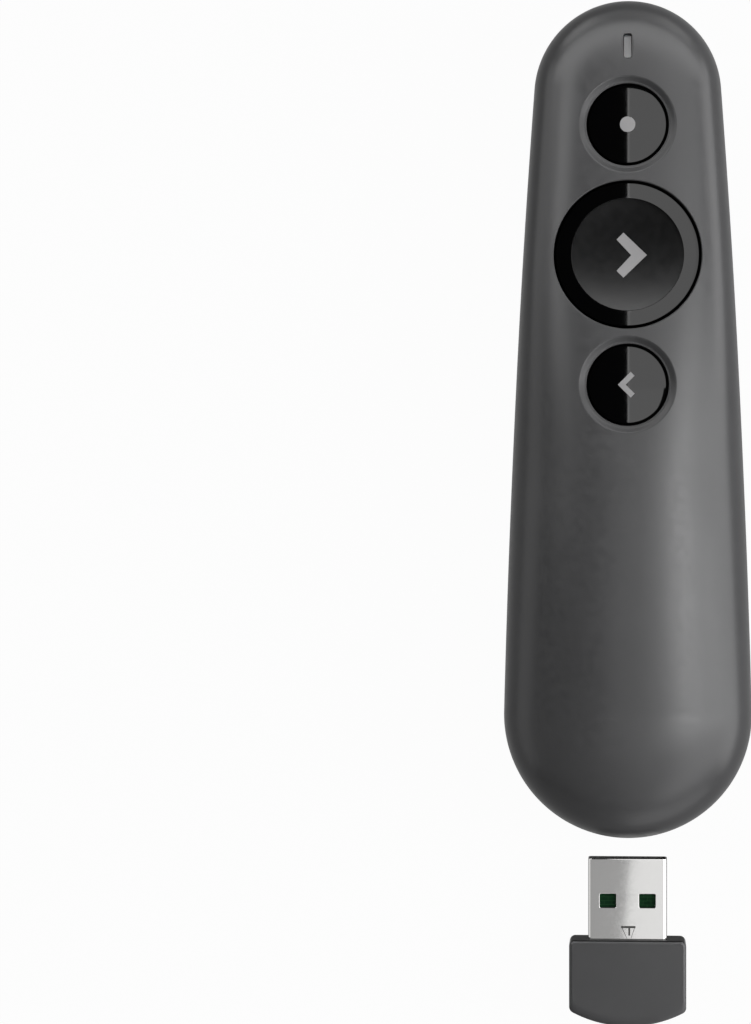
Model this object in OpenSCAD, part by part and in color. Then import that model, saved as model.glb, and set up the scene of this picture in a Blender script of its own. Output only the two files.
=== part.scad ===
// Wireless presentation clicker: a handheld remote with three push buttons on
// its deck, a laser in its nose and a USB receiver that docks in its tail.
// Millimetres. +Y runs along the body to the nose and +Z comes out of the
// button deck. The clicker lies on its back on z = 0, with its receiver pulled
// out, and the origin is the middle of that footprint.

/* [Body] */
// Length of the body from tail to nose
body_length = 125.4; // [122:0.2:150]
// Height of the button deck over the table
body_height = 25; // [22.5:0.1:28]
// Radius of the nose seen from above
nose_radius = 14; // [13.6:0.2:16]
// Radius of the tail seen from above
tail_radius = 18.6; // [18:0.2:21]
// Radius of the long curve of each side
side_radius = 1900; // [1200:50:4000]
// Depth of the seam between the two covers below the deck
seam_depth = 12; // [11.5:0.1:12.5]
// Wall of both covers
wall = 1.8; // [1.6:0.1:2]
// Height that the back rises to under the nose
nose_lift = 5.5; // [4:0.25:6.5]
// Length over which the back rises
lift_length = 30; // [26:1:32]
// Drop of the palm from the deck to the tail
palm_drop = 1.1; // [0:0.1:2]
// Depth of the curved back that the flat land takes off
land_depth = 1.2; // [0.8:0.1:1.6]
// Power of the skin's curve across the button deck, 2 being a round
deck_power = 4; // [3.6:0.1:5]
// Power of the skin's curve across the palm
palm_power = 2.7; // [2.4:0.1:3.2]
// Power of the skin's curve across the back
back_power = 3; // [2.8:0.1:3.6]
// Length over which the deck's curve turns into the palm's
blend_length = 40; // [30:1:50]

/* [Seam] */
// Height of the locating lip over the seam
lip_height = 1.2; // [0.8:0.1:1.8]
// Thickness of the locating lip
lip_thickness = 0.8; // [0.6:0.1:1]
// Gap between the lip and the upper cover
lip_gap = 0.15; // [0.15:0.05:0.25]
// Depth of the lip's root below the seam
lip_root = 2.5; // [1.5:0.5:3]

/* [Buttons] */
// Distance from the tip of the nose to the laser button
laser_button_inset = 19.2; // [18.6:0.1:20]
// Distance from one button to the next
button_pitch = 19.2; // [18.9:0.05:21]
// Radius of the hole of the laser and back buttons
small_hole_radius = 6.05; // [5.8:0.05:6.2]
// Radius of the hole of the next button
next_hole_radius = 10.9; // [10.4:0.05:11.1]
// Gap between a button and its hole
button_gap = 0.35; // [0.25:0.05:0.5]
// Wall of the sleeve round a button's hole
sleeve_wall = 0.95; // [0.8:0.05:1]
// Depth of the next button's sleeve below the deck
next_sleeve_depth = 4.4; // [4.2:0.1:4.6]
// Depth of a small button's sleeve below the deck
small_sleeve_depth = 3.2; // [3:0.1:3.4]
// Radius of the chamfered seat round a small button at the deck
seat_radius = 7.1; // [6.9:0.05:7.2]
// Depth of that seat
seat_depth = 0.5; // [0.3:0.05:0.6]
// Ledge between the seat and the hole
seat_ledge = 0.25; // [0.1:0.05:0.4]
// Reach of a button's flange past its hole
flange_reach = 0.6; // [0.4:0.05:0.7]
// Thickness of a button's flange
flange_thickness = 0.8; // [0.6:0.1:0.9]
// Gap between a flange and its sleeve, and between other pieces at rest
rest_gap = 0.05; // [0.02:0.01:0.1]
// Wall of a button's skirt
skirt_wall = 1; // [0.8:0.05:1.1]
// Depth of a small button's top below the deck
small_top_depth = 0.25; // [0.1:0.05:0.5]
// Depth of the next button's top below the deck
next_top_depth = 0.1; // [0:0.05:0.4]
// Radius of the crown of a small button
small_crown_radius = 60; // [40:5:100]
// Radius of the crown across the next button
next_crown_radius = 70; // [60:5:100]
// Radius of the dish in the next button
dish_radius = 8.4; // [8:0.1:8.8]
// Depth of the dish's rim below the button's top
dish_rim_depth = 0.7; // [0.6:0.05:0.8]
// Further depth of the dish in its middle
dish_sag = 1; // [0.6:0.1:1.1]
// Thickness of a small button's roof
small_roof = 1.4; // [1:0.1:2]
// Thickness of the next button's roof under its dish
next_roof = 1.3; // [1:0.05:1.35]
// Radius of the stem under a button
stem_radius = 1.6; // [1.2:0.1:2]
// Travel of the small buttons
small_travel = 0.6; // [0.4:0.05:0.7]
// Travel of the next button
next_travel = 0.8; // [0.5:0.05:0.9]

/* [Board] */
// Depth of the board's top below the deck
board_depth = 6.7; // [6.6:0.05:7.2]
// Thickness of the board
board_thickness = 1; // [0.8:0.1:1.3]
// Distance from the board's edge to the outside of the covers
board_inset = 3.6; // [3.4:0.1:4]
// Reach of the board behind the back button
board_reach = 13.2; // [12.5:0.1:14]
// Side of a push switch
switch_size = 6; // [5.6:0.1:6.2]
// Height of a push switch
switch_height = 2.5; // [2.3:0.05:2.6]
// Radius of a switch's plunger
plunger_radius = 1.7; // [1.5:0.05:1.75]
// Height of a plunger over its switch
plunger_rise = 0.6; // [0.5:0.05:0.7]
// Depth of a plunger inside its switch
plunger_depth = 1.1; // [0.9:0.05:1.2]
// Radial clearance of a plunger, a hinge pin or a screw in its hole
running_gap = 0.05; // [0.03:0.01:0.08]
// Depth of the bore in a switch
switch_bore_depth = 2.1; // [2:0.05:2.2]
// Half the distance between the board's screws
board_screw_x = 9.4; // [9.3:0.1:9.6]
// Distance from the laser button back to the front board screws
front_screw_offset = 8.7; // [8.6:0.1:9]
// Distance from the back button back to the rear board screws
rear_screw_offset = 9.7; // [9.5:0.1:10]
// Outer radius of a board boss
boss_radius = 2; // [1.7:0.1:2.1]
// Side of the radio chip
radio_size = 5; // [4:0.5:5.5]
// Height of the radio chip
radio_height = 0.9; // [0.7:0.1:1.2]
// Distance of the radio chip from the middle of the board
radio_x = 1.5; // [1:0.1:2]
// Distance from the back button back to the radio chip and the crystal
radio_offset = 7; // [6.6:0.1:7.4]
// Length of the crystal
crystal_length = 3.2; // [2.8:0.1:3.4]
// Length of a small part, such as a resistor
chip_part_length = 1.6; // [1.2:0.1:1.8]
// Width of a small part
chip_part_width = 0.8; // [0.6:0.1:0.9]

/* [Status light] */
// Distance from the tip of the nose to the light
light_inset = 7.65; // [7:0.05:8]
// Width of the light pipe
light_width = 1.2; // [1:0.1:1.6]
// Length of the light pipe
light_length = 3.6; // [3:0.1:3.8]
// Depth of the light pipe's top below the deck
light_recess = 0.8; // [0.05:0.05:1]
// Side of the flange that holds the light pipe under the deck
light_flange = 0.6; // [0.5:0.05:0.8]
// Height of the light's chip
led_height = 0.7; // [0.5:0.1:1]

/* [Laser] */
// Radius of the laser's barrel
barrel_radius = 3; // [2.8:0.1:3.1]
// Length of the barrel
barrel_length = 14.2; // [13:0.1:14.6]
// Wall of the barrel
barrel_wall = 0.6; // [0.4:0.1:0.8]
// Distance from the tip of the nose to the front of the bezel
bezel_recess = 0.6; // [0.5:0.05:0.8]
// Radius of the bezel's neck in the nose
bezel_radius = 3.6; // [3.4:0.1:3.8]
// Radius of the bezel's bore
bezel_bore = 2.4; // [2:0.1:2.5]
// Length of the bezel's neck
bezel_neck = 2.2; // [2.1:0.05:2.4]
// Thickness of the bezel's flange
bezel_flange = 0.8; // [0.6:0.1:0.9]
// Thickness of the nose window
window_thickness = 0.6; // [0.4:0.1:0.8]
// Distance between the two ribs that cradle the barrel
cradle_pitch = 7.5; // [6:0.5:8]

/* [Battery] */
// Radius of the AAA cell
cell_radius = 5.25; // [5.1:0.05:5.3]
// Length of the AAA cell
cell_length = 44.5; // [44:0.1:45]
// Radius of the cell's positive nub
nub_radius = 1.9; // [1.6:0.1:2]
// Length of the nub, which counts in the cell's length
nub_length = 0.8; // [0.6:0.1:1]
// Length of the pressed spring
spring_length = 2.4; // [2.2:0.1:3]
// Radius of the spring's wire
spring_wire = 0.35; // [0.3:0.05:0.4]
// Turns of the spring
spring_turns = 2.5; // [2:0.5:2.5]
// Thickness of the contact plates
contact_thickness = 0.4; // [0.3:0.05:0.45]
// Side clearance of the cell in its tray
tray_gap = 0.35; // [0.25:0.05:0.4]
// Wall of the tray
tray_wall = 1.2; // [1:0.1:1.3]
// Thickness of the tray's roof
tray_roof = 0.8; // [0.7:0.05:1.2]
// Height of the tray's walls over the table
tray_rise = 2.6; // [2.3:0.1:2.8]
// Height of the tray's feet over the table
tray_foot_height = 4; // [3.8:0.1:4.4]
// Half the distance between the tray's feet
tray_foot_x = 9; // [8.8:0.1:9.2]
// Radius of the posts under the tray's feet
tray_foot_radius = 1.3; // [1.1:0.1:1.4]
// Thickness of the tray's feet
tray_foot_thickness = 1.15; // [1:0.05:1.4]
// Distance from the cell's back to the rear feet
rear_foot_inset = 2; // [1.6:0.1:3]
// Distance from the cell's front to the front feet
front_foot_inset = 6; // [5:0.5:8]
// Half the distance between the posts that hold the board off the tray
tray_post_x = 4; // [3.5:0.1:4.2]
// Radius of those posts
tray_post_radius = 1.2; // [0.9:0.1:1.4]
// Distance from the board's back edge to the rear posts
rear_post_inset = 4.5; // [4:0.25:6]
// Distance from the cell's front to the front posts
front_post_inset = 5; // [4:0.5:8]
// Width of the contacts' tails
contact_tail_width = 2.4; // [1.6:0.2:2.6]

/* [Battery door] */
// Half the width of the door
door_half_width = 8; // [7.6:0.1:8.2]
// Thickness of the door
door_thickness = 1.5; // [1.3:0.1:1.5]
// Height of the door's face over the table
door_recess = 0.25; // [0.2:0.05:0.3]
// Gap round the door
door_gap = 0.2; // [0.15:0.05:0.3]
// Radius of the door's back corners
door_corner = 2; // [1:0.25:3]
// Radius of the hinge pins
pin_radius = 0.45; // [0.35:0.05:0.5]
// Length of a hinge pin
pin_length = 1.1; // [0.8:0.1:1.2]
// Half the width of the latch tongue
latch_half_width = 3; // [2:0.25:3.2]
// Height of the latch tongue over the door
latch_height = 1.4; // [1.2:0.1:1.5]
// Width of the foam pad on the door
pad_width = 6; // [4:0.5:8]
// Distance from each end of the cell to the pad
pad_inset = 7; // [5:0.5:10]
// Thickness of the foam pad
pad_thickness = 0.5; // [0.4:0.1:0.6]
// Radius of the scoop for a nail in the door
scoop_radius = 4; // [3:0.25:5]
// Depth of the scoop
scoop_depth = 0.5; // [0.3:0.1:0.7]
// Distance from the door's back to the middle of the scoop
scoop_inset = 5; // [4:0.25:6]
// Width of the scoop
scoop_width = 8; // [6:0.5:10]
// Distance from the dock to the cover screws
screw_offset = 3.7; // [3.5:0.1:3.9]
// Half the distance between the cover screws
cover_screw_x = 5.6; // [5.4:0.1:5.8]
// Radius of the posts that the cover screws pull on
post_radius = 2.3; // [2:0.1:2.4]
// Radius of the screws
screw_radius = 1; // [0.8:0.1:1.1]
// Radius of the screw heads
screw_head_radius = 1.8; // [1.6:0.1:1.9]
// Height of the screw heads
screw_head_height = 1.1; // [0.9:0.1:1.2]
// Length of the screws under their heads
screw_length = 5; // [4:0.5:6]

/* [Receiver] */
// Gap between the tail and the receiver when it is pulled out
receiver_gap = 3.9; // [1:0.1:8]
// Width of the receiver's cap
cap_width = 17.8; // [16.8:0.2:18.2]
// Length of the cap
cap_length = 13.2; // [12.8:0.1:15]
// Thickness of the cap
cap_thickness = 7.6; // [7.2:0.1:8]
// Height of the cap's underside over the table
cap_rise = 0.25; // [0.2:0.05:0.4]
// Radius of the cap's shoulders seen from above
cap_corner = 0.9; // [0.5:0.1:1.5]
// Depth of the cavity in the cap
cap_cavity = 8; // [7.6:0.1:8.4]
// Rounding of the cap's long edges
cap_round = 0.5; // [0.4:0.1:0.9]
// Gap between the cap and its pocket, on each side and above
pocket_gap = 0.25; // [0.2:0.05:0.4]
// Wall of the pocket and of the dock
pocket_wall = 1.2; // [1:0.1:1.3]
// Gap between the plug and its dock
dock_gap = 0.3; // [0.2:0.05:0.35]

/* [USB plug] */
// Width of the plug's shell
plug_width = 12; // [11.8:0.1:12.1]
// Height of the plug's shell
plug_height = 4.5; // [4.4:0.1:4.6]
// Length of the plug outside the cap
plug_length = 12.3; // [11.8:0.1:12.5]
// Wall of the shell
shell_wall = 0.3; // [0.25:0.05:0.35]
// Length of the shell inside the cap
shell_hidden = 3.2; // [2.5:0.1:4]
// Width of a window in the shell
window_width = 2.5; // [2.2:0.1:2.7]
// Length of a window in the shell
window_length = 2.1; // [1.8:0.1:2.5]
// Half the distance between the windows
window_x = 3; // [2.8:0.1:3.2]
// Distance from the plug's tip to the middle of the windows
window_inset = 6.4; // [6:0.1:7.2]
// Thickness of the receiver's board
receiver_board_thickness = 0.8; // [0.6:0.1:1]
// Thickness of the plug's insert under that board
insert_thickness = 0.9; // [0.7:0.1:1.1]
// Distance between the plug's contacts, middle to middle
contact_pitch = 2.25; // [2:0.05:2.5]
// Width of a contact
contact_width = 1.1; // [0.9:0.1:1.2]
// Length of a contact
contact_length = 7; // [5:0.5:8]
// Distance from the plug's tip to the contacts
contact_inset = 2; // [1.6:0.1:2.4]
// Side of the receiver's chip
receiver_chip_size = 4; // [3:0.2:5]

/* [Hidden] */

$fn = 48;

// Facets of the skin: along the nose, the tail and each side, and from rim to spine
nose_steps = 18;
tail_steps = 22;
side_steps = 16;
outer_rows = 14;
inner_rows = 8;

// A length that runs well past whatever it cuts
past = 30;

// Colours of the real surfaces
case_colour = [0.33, 0.33, 0.35];
button_colour = [0.08, 0.08, 0.09];
moulding_colour = [0.2, 0.2, 0.21];
metal_colour = [0.75, 0.75, 0.76];
board_colour = [0.08, 0.3, 0.14];
chip_colour = [0.06, 0.06, 0.07];
gold_colour = [0.83, 0.68, 0.3];
light_colour = [0.6, 0.6, 0.62];

// Places along the body, and the height of the seam
receiver_length = plug_length + cap_length;
seam_height = body_height - seam_depth;
body_y = (receiver_gap + receiver_length) / 2;
nose_tip = body_y + body_length / 2;
tail_tip = body_y - body_length / 2;
nose_y = nose_tip - nose_radius;
tail_y = tail_tip + tail_radius;
laser_button_y = nose_tip - laser_button_inset;
next_button_y = laser_button_y - button_pitch;
back_button_y = next_button_y - button_pitch;
light_y = nose_tip - light_inset;

// The side arcs touch the nose arc and the tail arc from inside.
// side_x and side_y are the centre of the +X side's arc.
end_distance = nose_y - tail_y;
side_y = tail_y + (pow(side_radius - tail_radius, 2) - pow(side_radius - nose_radius, 2)
    + pow(end_distance, 2)) / (2 * end_distance);
side_x = -sqrt(pow(side_radius - tail_radius, 2) - pow(side_y - tail_y, 2));
nose_angle = atan2(nose_y - side_y, -side_x);
tail_angle = atan2(tail_y - side_y, -side_x);

// Height of the deck's outside, or of its inside at an inset, over the nose
function nose_deck_z(y, inset) =
    mix(seam_height, body_height - inset,
        pow(1 - pow(max(0, y - nose_y) / (nose_radius - inset), deck_power), 1 / deck_power));

// Heights of the button stack
board_top = body_height - board_depth;
board_bottom = board_top - board_thickness;
switch_top = board_top + switch_height;
plunger_top = switch_top + plunger_rise;
small_cap_radius = small_hole_radius - button_gap;
next_cap_radius = next_hole_radius - button_gap;

// Heights of the battery stack
door_top = door_recess + door_thickness;
hinge_z = door_recess + door_thickness / 2;
cell_z = door_top + pad_thickness + rest_gap + cell_radius;
tray_half_width = cell_radius + tray_gap + tray_wall;
tray_roof_bottom = cell_z + cell_radius + tray_gap;
tray_top = tray_roof_bottom + tray_roof;
tail_z = (tray_top + board_bottom - contact_thickness) / 2;
shelf_bottom = door_top + latch_height + 2 * rest_gap + 0.15;
shelf_top = shelf_bottom + pocket_wall;

// The skin of the tail lies this far in at the height of the docked cap's top, and
// the receiver slides in until its cap is flush with it there
cap_top = cap_rise + cap_thickness;
tail_tuck = tail_radius
    * (1 - pow(1 - pow((seam_height - cap_top) / (seam_height + land_depth), back_power),
        1 / back_power));
receiver_travel = receiver_gap + receiver_length + tail_tuck;

// Places of the receiver's pocket, its dock and the battery bay, from the tail
pocket_front = tail_tip + tail_tuck + cap_length + pocket_gap;
dock_front = pocket_front + pocket_wall;
channel_end = tail_tip + tail_tuck + receiver_length + dock_gap;
dock_end = channel_end + pocket_wall;
door_back = dock_end + pocket_wall + door_gap;
cover_screw_y = dock_end + screw_offset;
shelf_end = cover_screw_y + post_radius + 0.9;
tray_back = cover_screw_y + post_radius + dock_gap;
contact_back = tray_back + tray_wall + rest_gap;
cell_back = contact_back + contact_thickness + spring_length;
cell_front = cell_back + cell_length;
contact_front = cell_front + rest_gap + contact_thickness;
tray_front = contact_front + rest_gap + tray_wall;
hinge_y = cell_front;
board_back = back_button_y - board_reach;
tray_foot_ys = [cell_back + rear_foot_inset, cell_front - front_foot_inset];
tray_post_ys = [board_back + rear_post_inset, cell_front - front_post_inset];

// Heights and places of the receiver
plug_z = cap_rise + cap_thickness / 2;
pocket_half_width = cap_width / 2 + pocket_gap;
pocket_top = cap_top + pocket_gap;
dock_half_width = plug_width / 2 + dock_gap;
plug_tip = tail_tip - receiver_gap;
cap_front = plug_tip - plug_length;
cap_end = cap_front - cap_length;
receiver_board_top = plug_z + plug_height / 2 - shell_wall - 0.1;
receiver_board_bottom = receiver_board_top - receiver_board_thickness;

// Places along the laser
laser_z = seam_height;
bezel_front = nose_tip - bezel_recess;
bezel_step = bezel_front - bezel_neck;
barrel_front = bezel_step - bezel_flange - 0.2;
barrel_back = barrel_front - barrel_length;
cradle_front = barrel_front - 3.2;

// A value between a and b, and a smooth rise from 0 to 1
function mix(a, b, t) = a + (b - a) * t;
function smooth(t) = let (u = max(0, min(1, t))) u * u * (3 - 2 * u);

// Height of the outside of the deck and of the back over the spine at y
function deck_z(y) = body_height
    - palm_drop * pow(max(0, (back_button_y - y) / (back_button_y - tail_y)), 2);
function back_z(y) = mix(-land_depth, nose_lift, smooth((y - nose_y + lift_length) / lift_length));
// Power of the upper skin's curve at y
function top_power(y) = mix(deck_power, palm_power,
    smooth((next_button_y - y) / blend_length + 0.1));

// Outline of the body at an inset, counter-clockwise from above. Each point is
// [x, y, spine_y], where [0, spine_y] is the point of the spine that faces it.
function side_spine_y(a) = side_y - side_x * tan(a);
function outline(inset) = concat(
    [for (i = [0 : nose_steps])
        let (a = mix(nose_angle, 180 - nose_angle, i / nose_steps))
        [(nose_radius - inset) * cos(a), nose_y + (nose_radius - inset) * sin(a), nose_y]],
    [for (i = [1 : side_steps - 1])
        let (a = mix(nose_angle, tail_angle, i / side_steps))
        [-side_x - (side_radius - inset) * cos(a), side_y + (side_radius - inset) * sin(a),
            side_spine_y(a)]],
    [for (i = [0 : tail_steps])
        let (a = mix(180 - tail_angle, 360 + tail_angle, i / tail_steps))
        [(tail_radius - inset) * cos(a), tail_y + (tail_radius - inset) * sin(a), tail_y]],
    [for (i = [1 : side_steps - 1])
        let (a = mix(tail_angle, nose_angle, i / side_steps))
        [side_x + (side_radius - inset) * cos(a), side_y + (side_radius - inset) * sin(a),
            side_spine_y(a)]]);

// Index on the spine, 0 at the nose and side_steps at the tail, that faces outline point j
function spine_index(j) =
    j <= nose_steps ? 0
    : j < nose_steps + side_steps ? j - nose_steps
    : j <= nose_steps + side_steps + tail_steps ? side_steps
    : 2 * side_steps + nose_steps + tail_steps - j;

// Height of the upper (1) or lower (-1) skin over the spine, less the wall inside
function skin_z(side, inset, y) = side > 0
    ? deck_z(y) - inset
    : (inset > 0 ? max(0, back_z(y)) + inset : back_z(y));
function skin_power(side, y) = side > 0 ? top_power(y) : back_power;

// One point of the skin, at an angle of 90 on the rim and 0 on the spine
function skin_point(p, side, inset, angle) =
    let (power = 2 / skin_power(side, p[2]),
        reach = pow(sin(angle), power),
        rise = angle == 90 ? 0 : pow(cos(angle), power))
    [reach * p[0], mix(p[2], p[1], reach), mix(seam_height, skin_z(side, inset, p[2]), rise)];

// The upper (1) or lower (-1) half of the body at an inset, as a solid whose flat
// side lies at the seam, or past it by reach
module skin_solid(side, inset = 0, reach = 0, rows = outer_rows) {
    rim = outline(inset);
    count = len(rim);
    spine = [for (i = [0 : side_steps])
        let (y = side_spine_y(mix(nose_angle, tail_angle, i / side_steps)))
        [0, y, skin_z(side, inset, y)]];
    skirt = reach > 0 ? [for (p = rim) [p[0], p[1], seam_height - side * reach]] : [];
    bands = rows - 1 + (reach > 0 ? 1 : 0);
    points = concat(skirt,
        [for (k = [0 : rows - 1], p = rim) skin_point(p, side, inset, 90 * (1 - k / rows))],
        spine);
    first_spine = len(points) - len(spine);
    quads = [for (k = [0 : bands - 1], j = [0 : count - 1])
        let (n = (j + 1) % count, a = k * count + j, b = k * count + n)
        [a, b, b + count, a + count]];
    crown = [for (j = [0 : count - 1])
        let (n = (j + 1) % count, base = bands * count,
            s = first_spine + spine_index(j), t = first_spine + spine_index(n))
        s == t ? [[base + j, base + n, s]] : [[base + j, base + n, t], [base + j, t, s]]];
    outward = concat(
        [for (q = quads, half = [[q[0], q[1], q[2]], [q[0], q[2], q[3]]]) half],
        [for (fan = crown, f = fan) f],
        [[for (j = [count - 1 : -1 : 0]) j]]);
    polyhedron(points, [for (f = outward) side > 0 ? [for (i = [len(f) - 1 : -1 : 0]) f[i]] : f]);
}

// A plate of the body's outline at an inset
module outline_plate(inset, bottom, top) {
    translate([0, 0, bottom])
        linear_extrude(top - bottom)
            polygon([for (p = outline(inset)) [p[0], p[1]]]);
}

// A box between two ends on each axis
module slab(x, y, z) {
    translate([x[0], y[0], z[0]]) cube([x[1] - x[0], y[1] - y[0], z[1] - z[0]]);
}

// A box that is centred on x = 0
module strip(half_width, y, z) {
    slab([-half_width, half_width], y, z);
}

// Cylinders along Z, Y and X between two ends
module rod_z(radius, z, place = [0, 0]) {
    translate([place[0], place[1], z[0]]) cylinder(r = radius, h = z[1] - z[0]);
}
module rod_y(radius, y, z) {
    translate([0, y[0], z]) rotate([-90, 0, 0]) cylinder(r = radius, h = y[1] - y[0]);
}
module rod_x(radius, x, y, z) {
    translate([x[0], y, z]) rotate([0, 90, 0]) cylinder(r = radius, h = x[1] - x[0]);
}

// Children at both sides of the body
module both_sides(x, y) {
    for (side = [-1, 1]) translate([side * x, y, 0]) children();
}
module at_cover_screws() {
    both_sides(cover_screw_x, cover_screw_y) children();
}
module at_board_screws() {
    both_sides(board_screw_x, laser_button_y - front_screw_offset) children();
    both_sides(board_screw_x, back_button_y - rear_screw_offset) children();
}
module at_small_buttons() {
    for (y = [laser_button_y, back_button_y]) translate([0, y, 0]) children();
}

// Upper cover: button deck and palm, with a sleeve round each button, bosses for
// the board and posts that the cover screws pull on
module top_cover_bosses() {
    rod_z(next_hole_radius + sleeve_wall, [body_height - next_sleeve_depth, past],
        [0, next_button_y]);
    at_small_buttons()
        rod_z(small_hole_radius + sleeve_wall, [body_height - small_sleeve_depth, past]);
    at_board_screws() rod_z(boss_radius, [board_top, past]);
    at_cover_screws() rod_z(post_radius, [-1, past]);
}

module top_cover() color(case_colour) difference() {
    union() {
        skin_solid(1);
        at_cover_screws() rod_z(post_radius + 0.5, [shelf_top, seam_height + 2]);
    }
    difference() {
        skin_solid(1, wall, seam_height, inner_rows);
        top_cover_bosses();
    }
    rod_z(next_hole_radius, [board_top, past], [0, next_button_y]);
    at_small_buttons() {
        rod_z(small_hole_radius, [board_top, past]);
        translate([0, 0, body_height - seat_depth])
            cylinder(r1 = small_hole_radius + seat_ledge,
                r2 = 2 * seat_radius - small_hole_radius - seat_ledge, h = 2 * seat_depth);
    }
    strip(light_width / 2 + rest_gap,
        [light_y - light_length / 2 - rest_gap, light_y + light_length / 2 + rest_gap],
        [board_top, past]);
    rod_y(bezel_radius + lip_gap, [barrel_front, nose_tip + past], laser_z);
    at_board_screws()
        rod_z(screw_radius + running_gap, [board_top - 1, board_bottom + screw_length + 0.5]);
    at_cover_screws()
        rod_z(screw_radius + running_gap, [shelf_top - 1, shelf_bottom + screw_length + 0.5]);
}

// Outline of the battery door, grown by a gap
module door_outline(grow) {
    half = door_half_width + grow;
    back = door_back - grow;
    translate([-half, back + door_corner])
        square([2 * half, hinge_y - back - door_corner]);
    translate([door_corner - half, back]) square([2 * (half - door_corner), door_corner]);
    for (side = [-1, 1])
        translate([side * (half - door_corner), back + door_corner]) circle(r = door_corner);
}

// What stands inside the lower cover: the locating lip with its root, the walls of
// the receiver's pocket, the screw shelf, the tray's posts and the laser's cradle
module bottom_cover_bosses() {
    difference() {
        union() {
            outline_plate(wall + lip_gap, seam_height - lip_root, seam_height + 2 * lip_height);
            outline_plate(wall - 0.3, seam_height - lip_root, seam_height - rest_gap);
        }
        outline_plate(wall + lip_gap + lip_thickness, 0, past);
    }
    strip(pocket_half_width + pocket_wall, [tail_tip - past, dock_front],
        [-past, pocket_top + pocket_wall]);
    strip(door_half_width + door_gap + pocket_wall, [dock_end + 0.1, shelf_end],
        [-past, shelf_top]);
    for (y = tray_foot_ys)
        both_sides(tray_foot_x, y) rod_z(tray_foot_radius, [-past, tray_foot_height]);
    for (y = [cradle_front, cradle_front - cradle_pitch])
        strip(barrel_radius + 2.5, [y - 0.6, y + 0.6], [-past, laser_z - 0.1]);
}

module bottom_cover() color(case_colour) difference() {
    union() {
        skin_solid(-1);
        outline_plate(wall + lip_gap / 2, seam_height - 1, seam_height + lip_height);
    }
    difference() {
        skin_solid(-1, wall, past, inner_rows);
        bottom_cover_bosses();
    }
    // Flat land on the back
    translate([-past, tail_tip - past, -past]) cube([2 * past, body_length + 2 * past, past]);
    // Pocket for the receiver's cap, and the channel for its plug
    strip(pocket_half_width, [tail_tip - past, pocket_front], [-past, pocket_top]);
    strip(dock_half_width, [pocket_front - 1, channel_end],
        [plug_z - plug_height / 2 - dock_gap, plug_z + plug_height / 2 + dock_gap]);
    // Door opening with its hinge sockets, and the screw holes in the shelf
    translate([0, 0, -1]) linear_extrude(shelf_bottom + 1) {
        door_outline(door_gap);
        translate([-door_half_width - door_gap, hinge_y - 1])
            square([2 * (door_half_width + door_gap), 1 + door_thickness / 2 + rest_gap]);
    }
    rod_x(pin_radius + running_gap,
        [-door_half_width - pin_length - door_gap, door_half_width + pin_length + door_gap],
        hinge_y, hinge_z);
    at_cover_screws() rod_z(screw_radius + 2 * running_gap, [shelf_bottom - 1, shelf_top + 1]);
    // Seats of the laser's barrel and of the bezel
    rod_y(barrel_radius + running_gap, [barrel_back, barrel_front], laser_z);
    rod_y(bezel_radius + lip_gap, [barrel_front, nose_tip + past], laser_z);
    rod_y(bezel_radius + bezel_flange + 0.2, [cradle_front + 1, bezel_step + 0.15], laser_z);
}

// Dock that grips the plug inside the tail, open below onto the cover's floor
module receiver_dock() color(moulding_colour) intersection() {
    difference() {
        strip(dock_half_width + pocket_wall, [dock_front + rest_gap, dock_end],
            [0, plug_z + plug_height / 2 + dock_gap + pocket_wall]);
        strip(dock_half_width, [pocket_front, channel_end],
            [-1, plug_z + plug_height / 2 + dock_gap]);
    }
    skin_solid(-1, wall + rest_gap, 0, inner_rows);
}

// Tray over the cell: side walls, a roof, end walls, feet and the board's posts
module battery_tray() color(moulding_colour) difference() {
    union() {
        strip(tray_half_width, [tray_back, tray_front], [tray_rise, tray_top]);
        for (y = tray_foot_ys) {
            foot_bottom = tray_foot_height + rest_gap;
            strip(tray_foot_x + 0.8, [y - tray_foot_radius, y + tray_foot_radius],
                [foot_bottom, foot_bottom + tray_foot_thickness]);
        }
        for (y = tray_post_ys)
            both_sides(tray_post_x, y)
                rod_z(tray_post_radius, [tray_top - tray_roof / 2, board_bottom - rest_gap]);
    }
    // Cell bay, and the room over the screw shelf
    strip(cell_radius + tray_gap, [contact_back - rest_gap, contact_front + rest_gap],
        [0, tray_roof_bottom]);
    strip(past, [tray_back - 1, shelf_end + 0.2], [0, shelf_top + 0.2]);
    // Slots for the tails of the two contacts
    slot_half_width = contact_tail_width / 2 + tray_gap;
    strip(slot_half_width, [contact_back - rest_gap, contact_back + contact_thickness + 0.2],
        [cell_z, tray_top + 1]);
    strip(slot_half_width, [contact_front - contact_thickness - 0.2, contact_front + rest_gap],
        [cell_z, tray_top + 1]);
}

// Circuit board that hangs under the deck
module main_board() color(board_colour) difference() {
    intersection() {
        outline_plate(board_inset, board_bottom, board_top);
        strip(past, [board_back, nose_tip], [0, body_height]);
    }
    at_board_screws() rod_z(screw_radius + 2 * running_gap, [0, body_height]);
}

module radio_chip() color(chip_colour) {
    front = back_button_y - radio_offset;
    slab([radio_x, radio_x + radio_size], [front - radio_size, front],
        [board_top, board_top + radio_height]);
}

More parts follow.
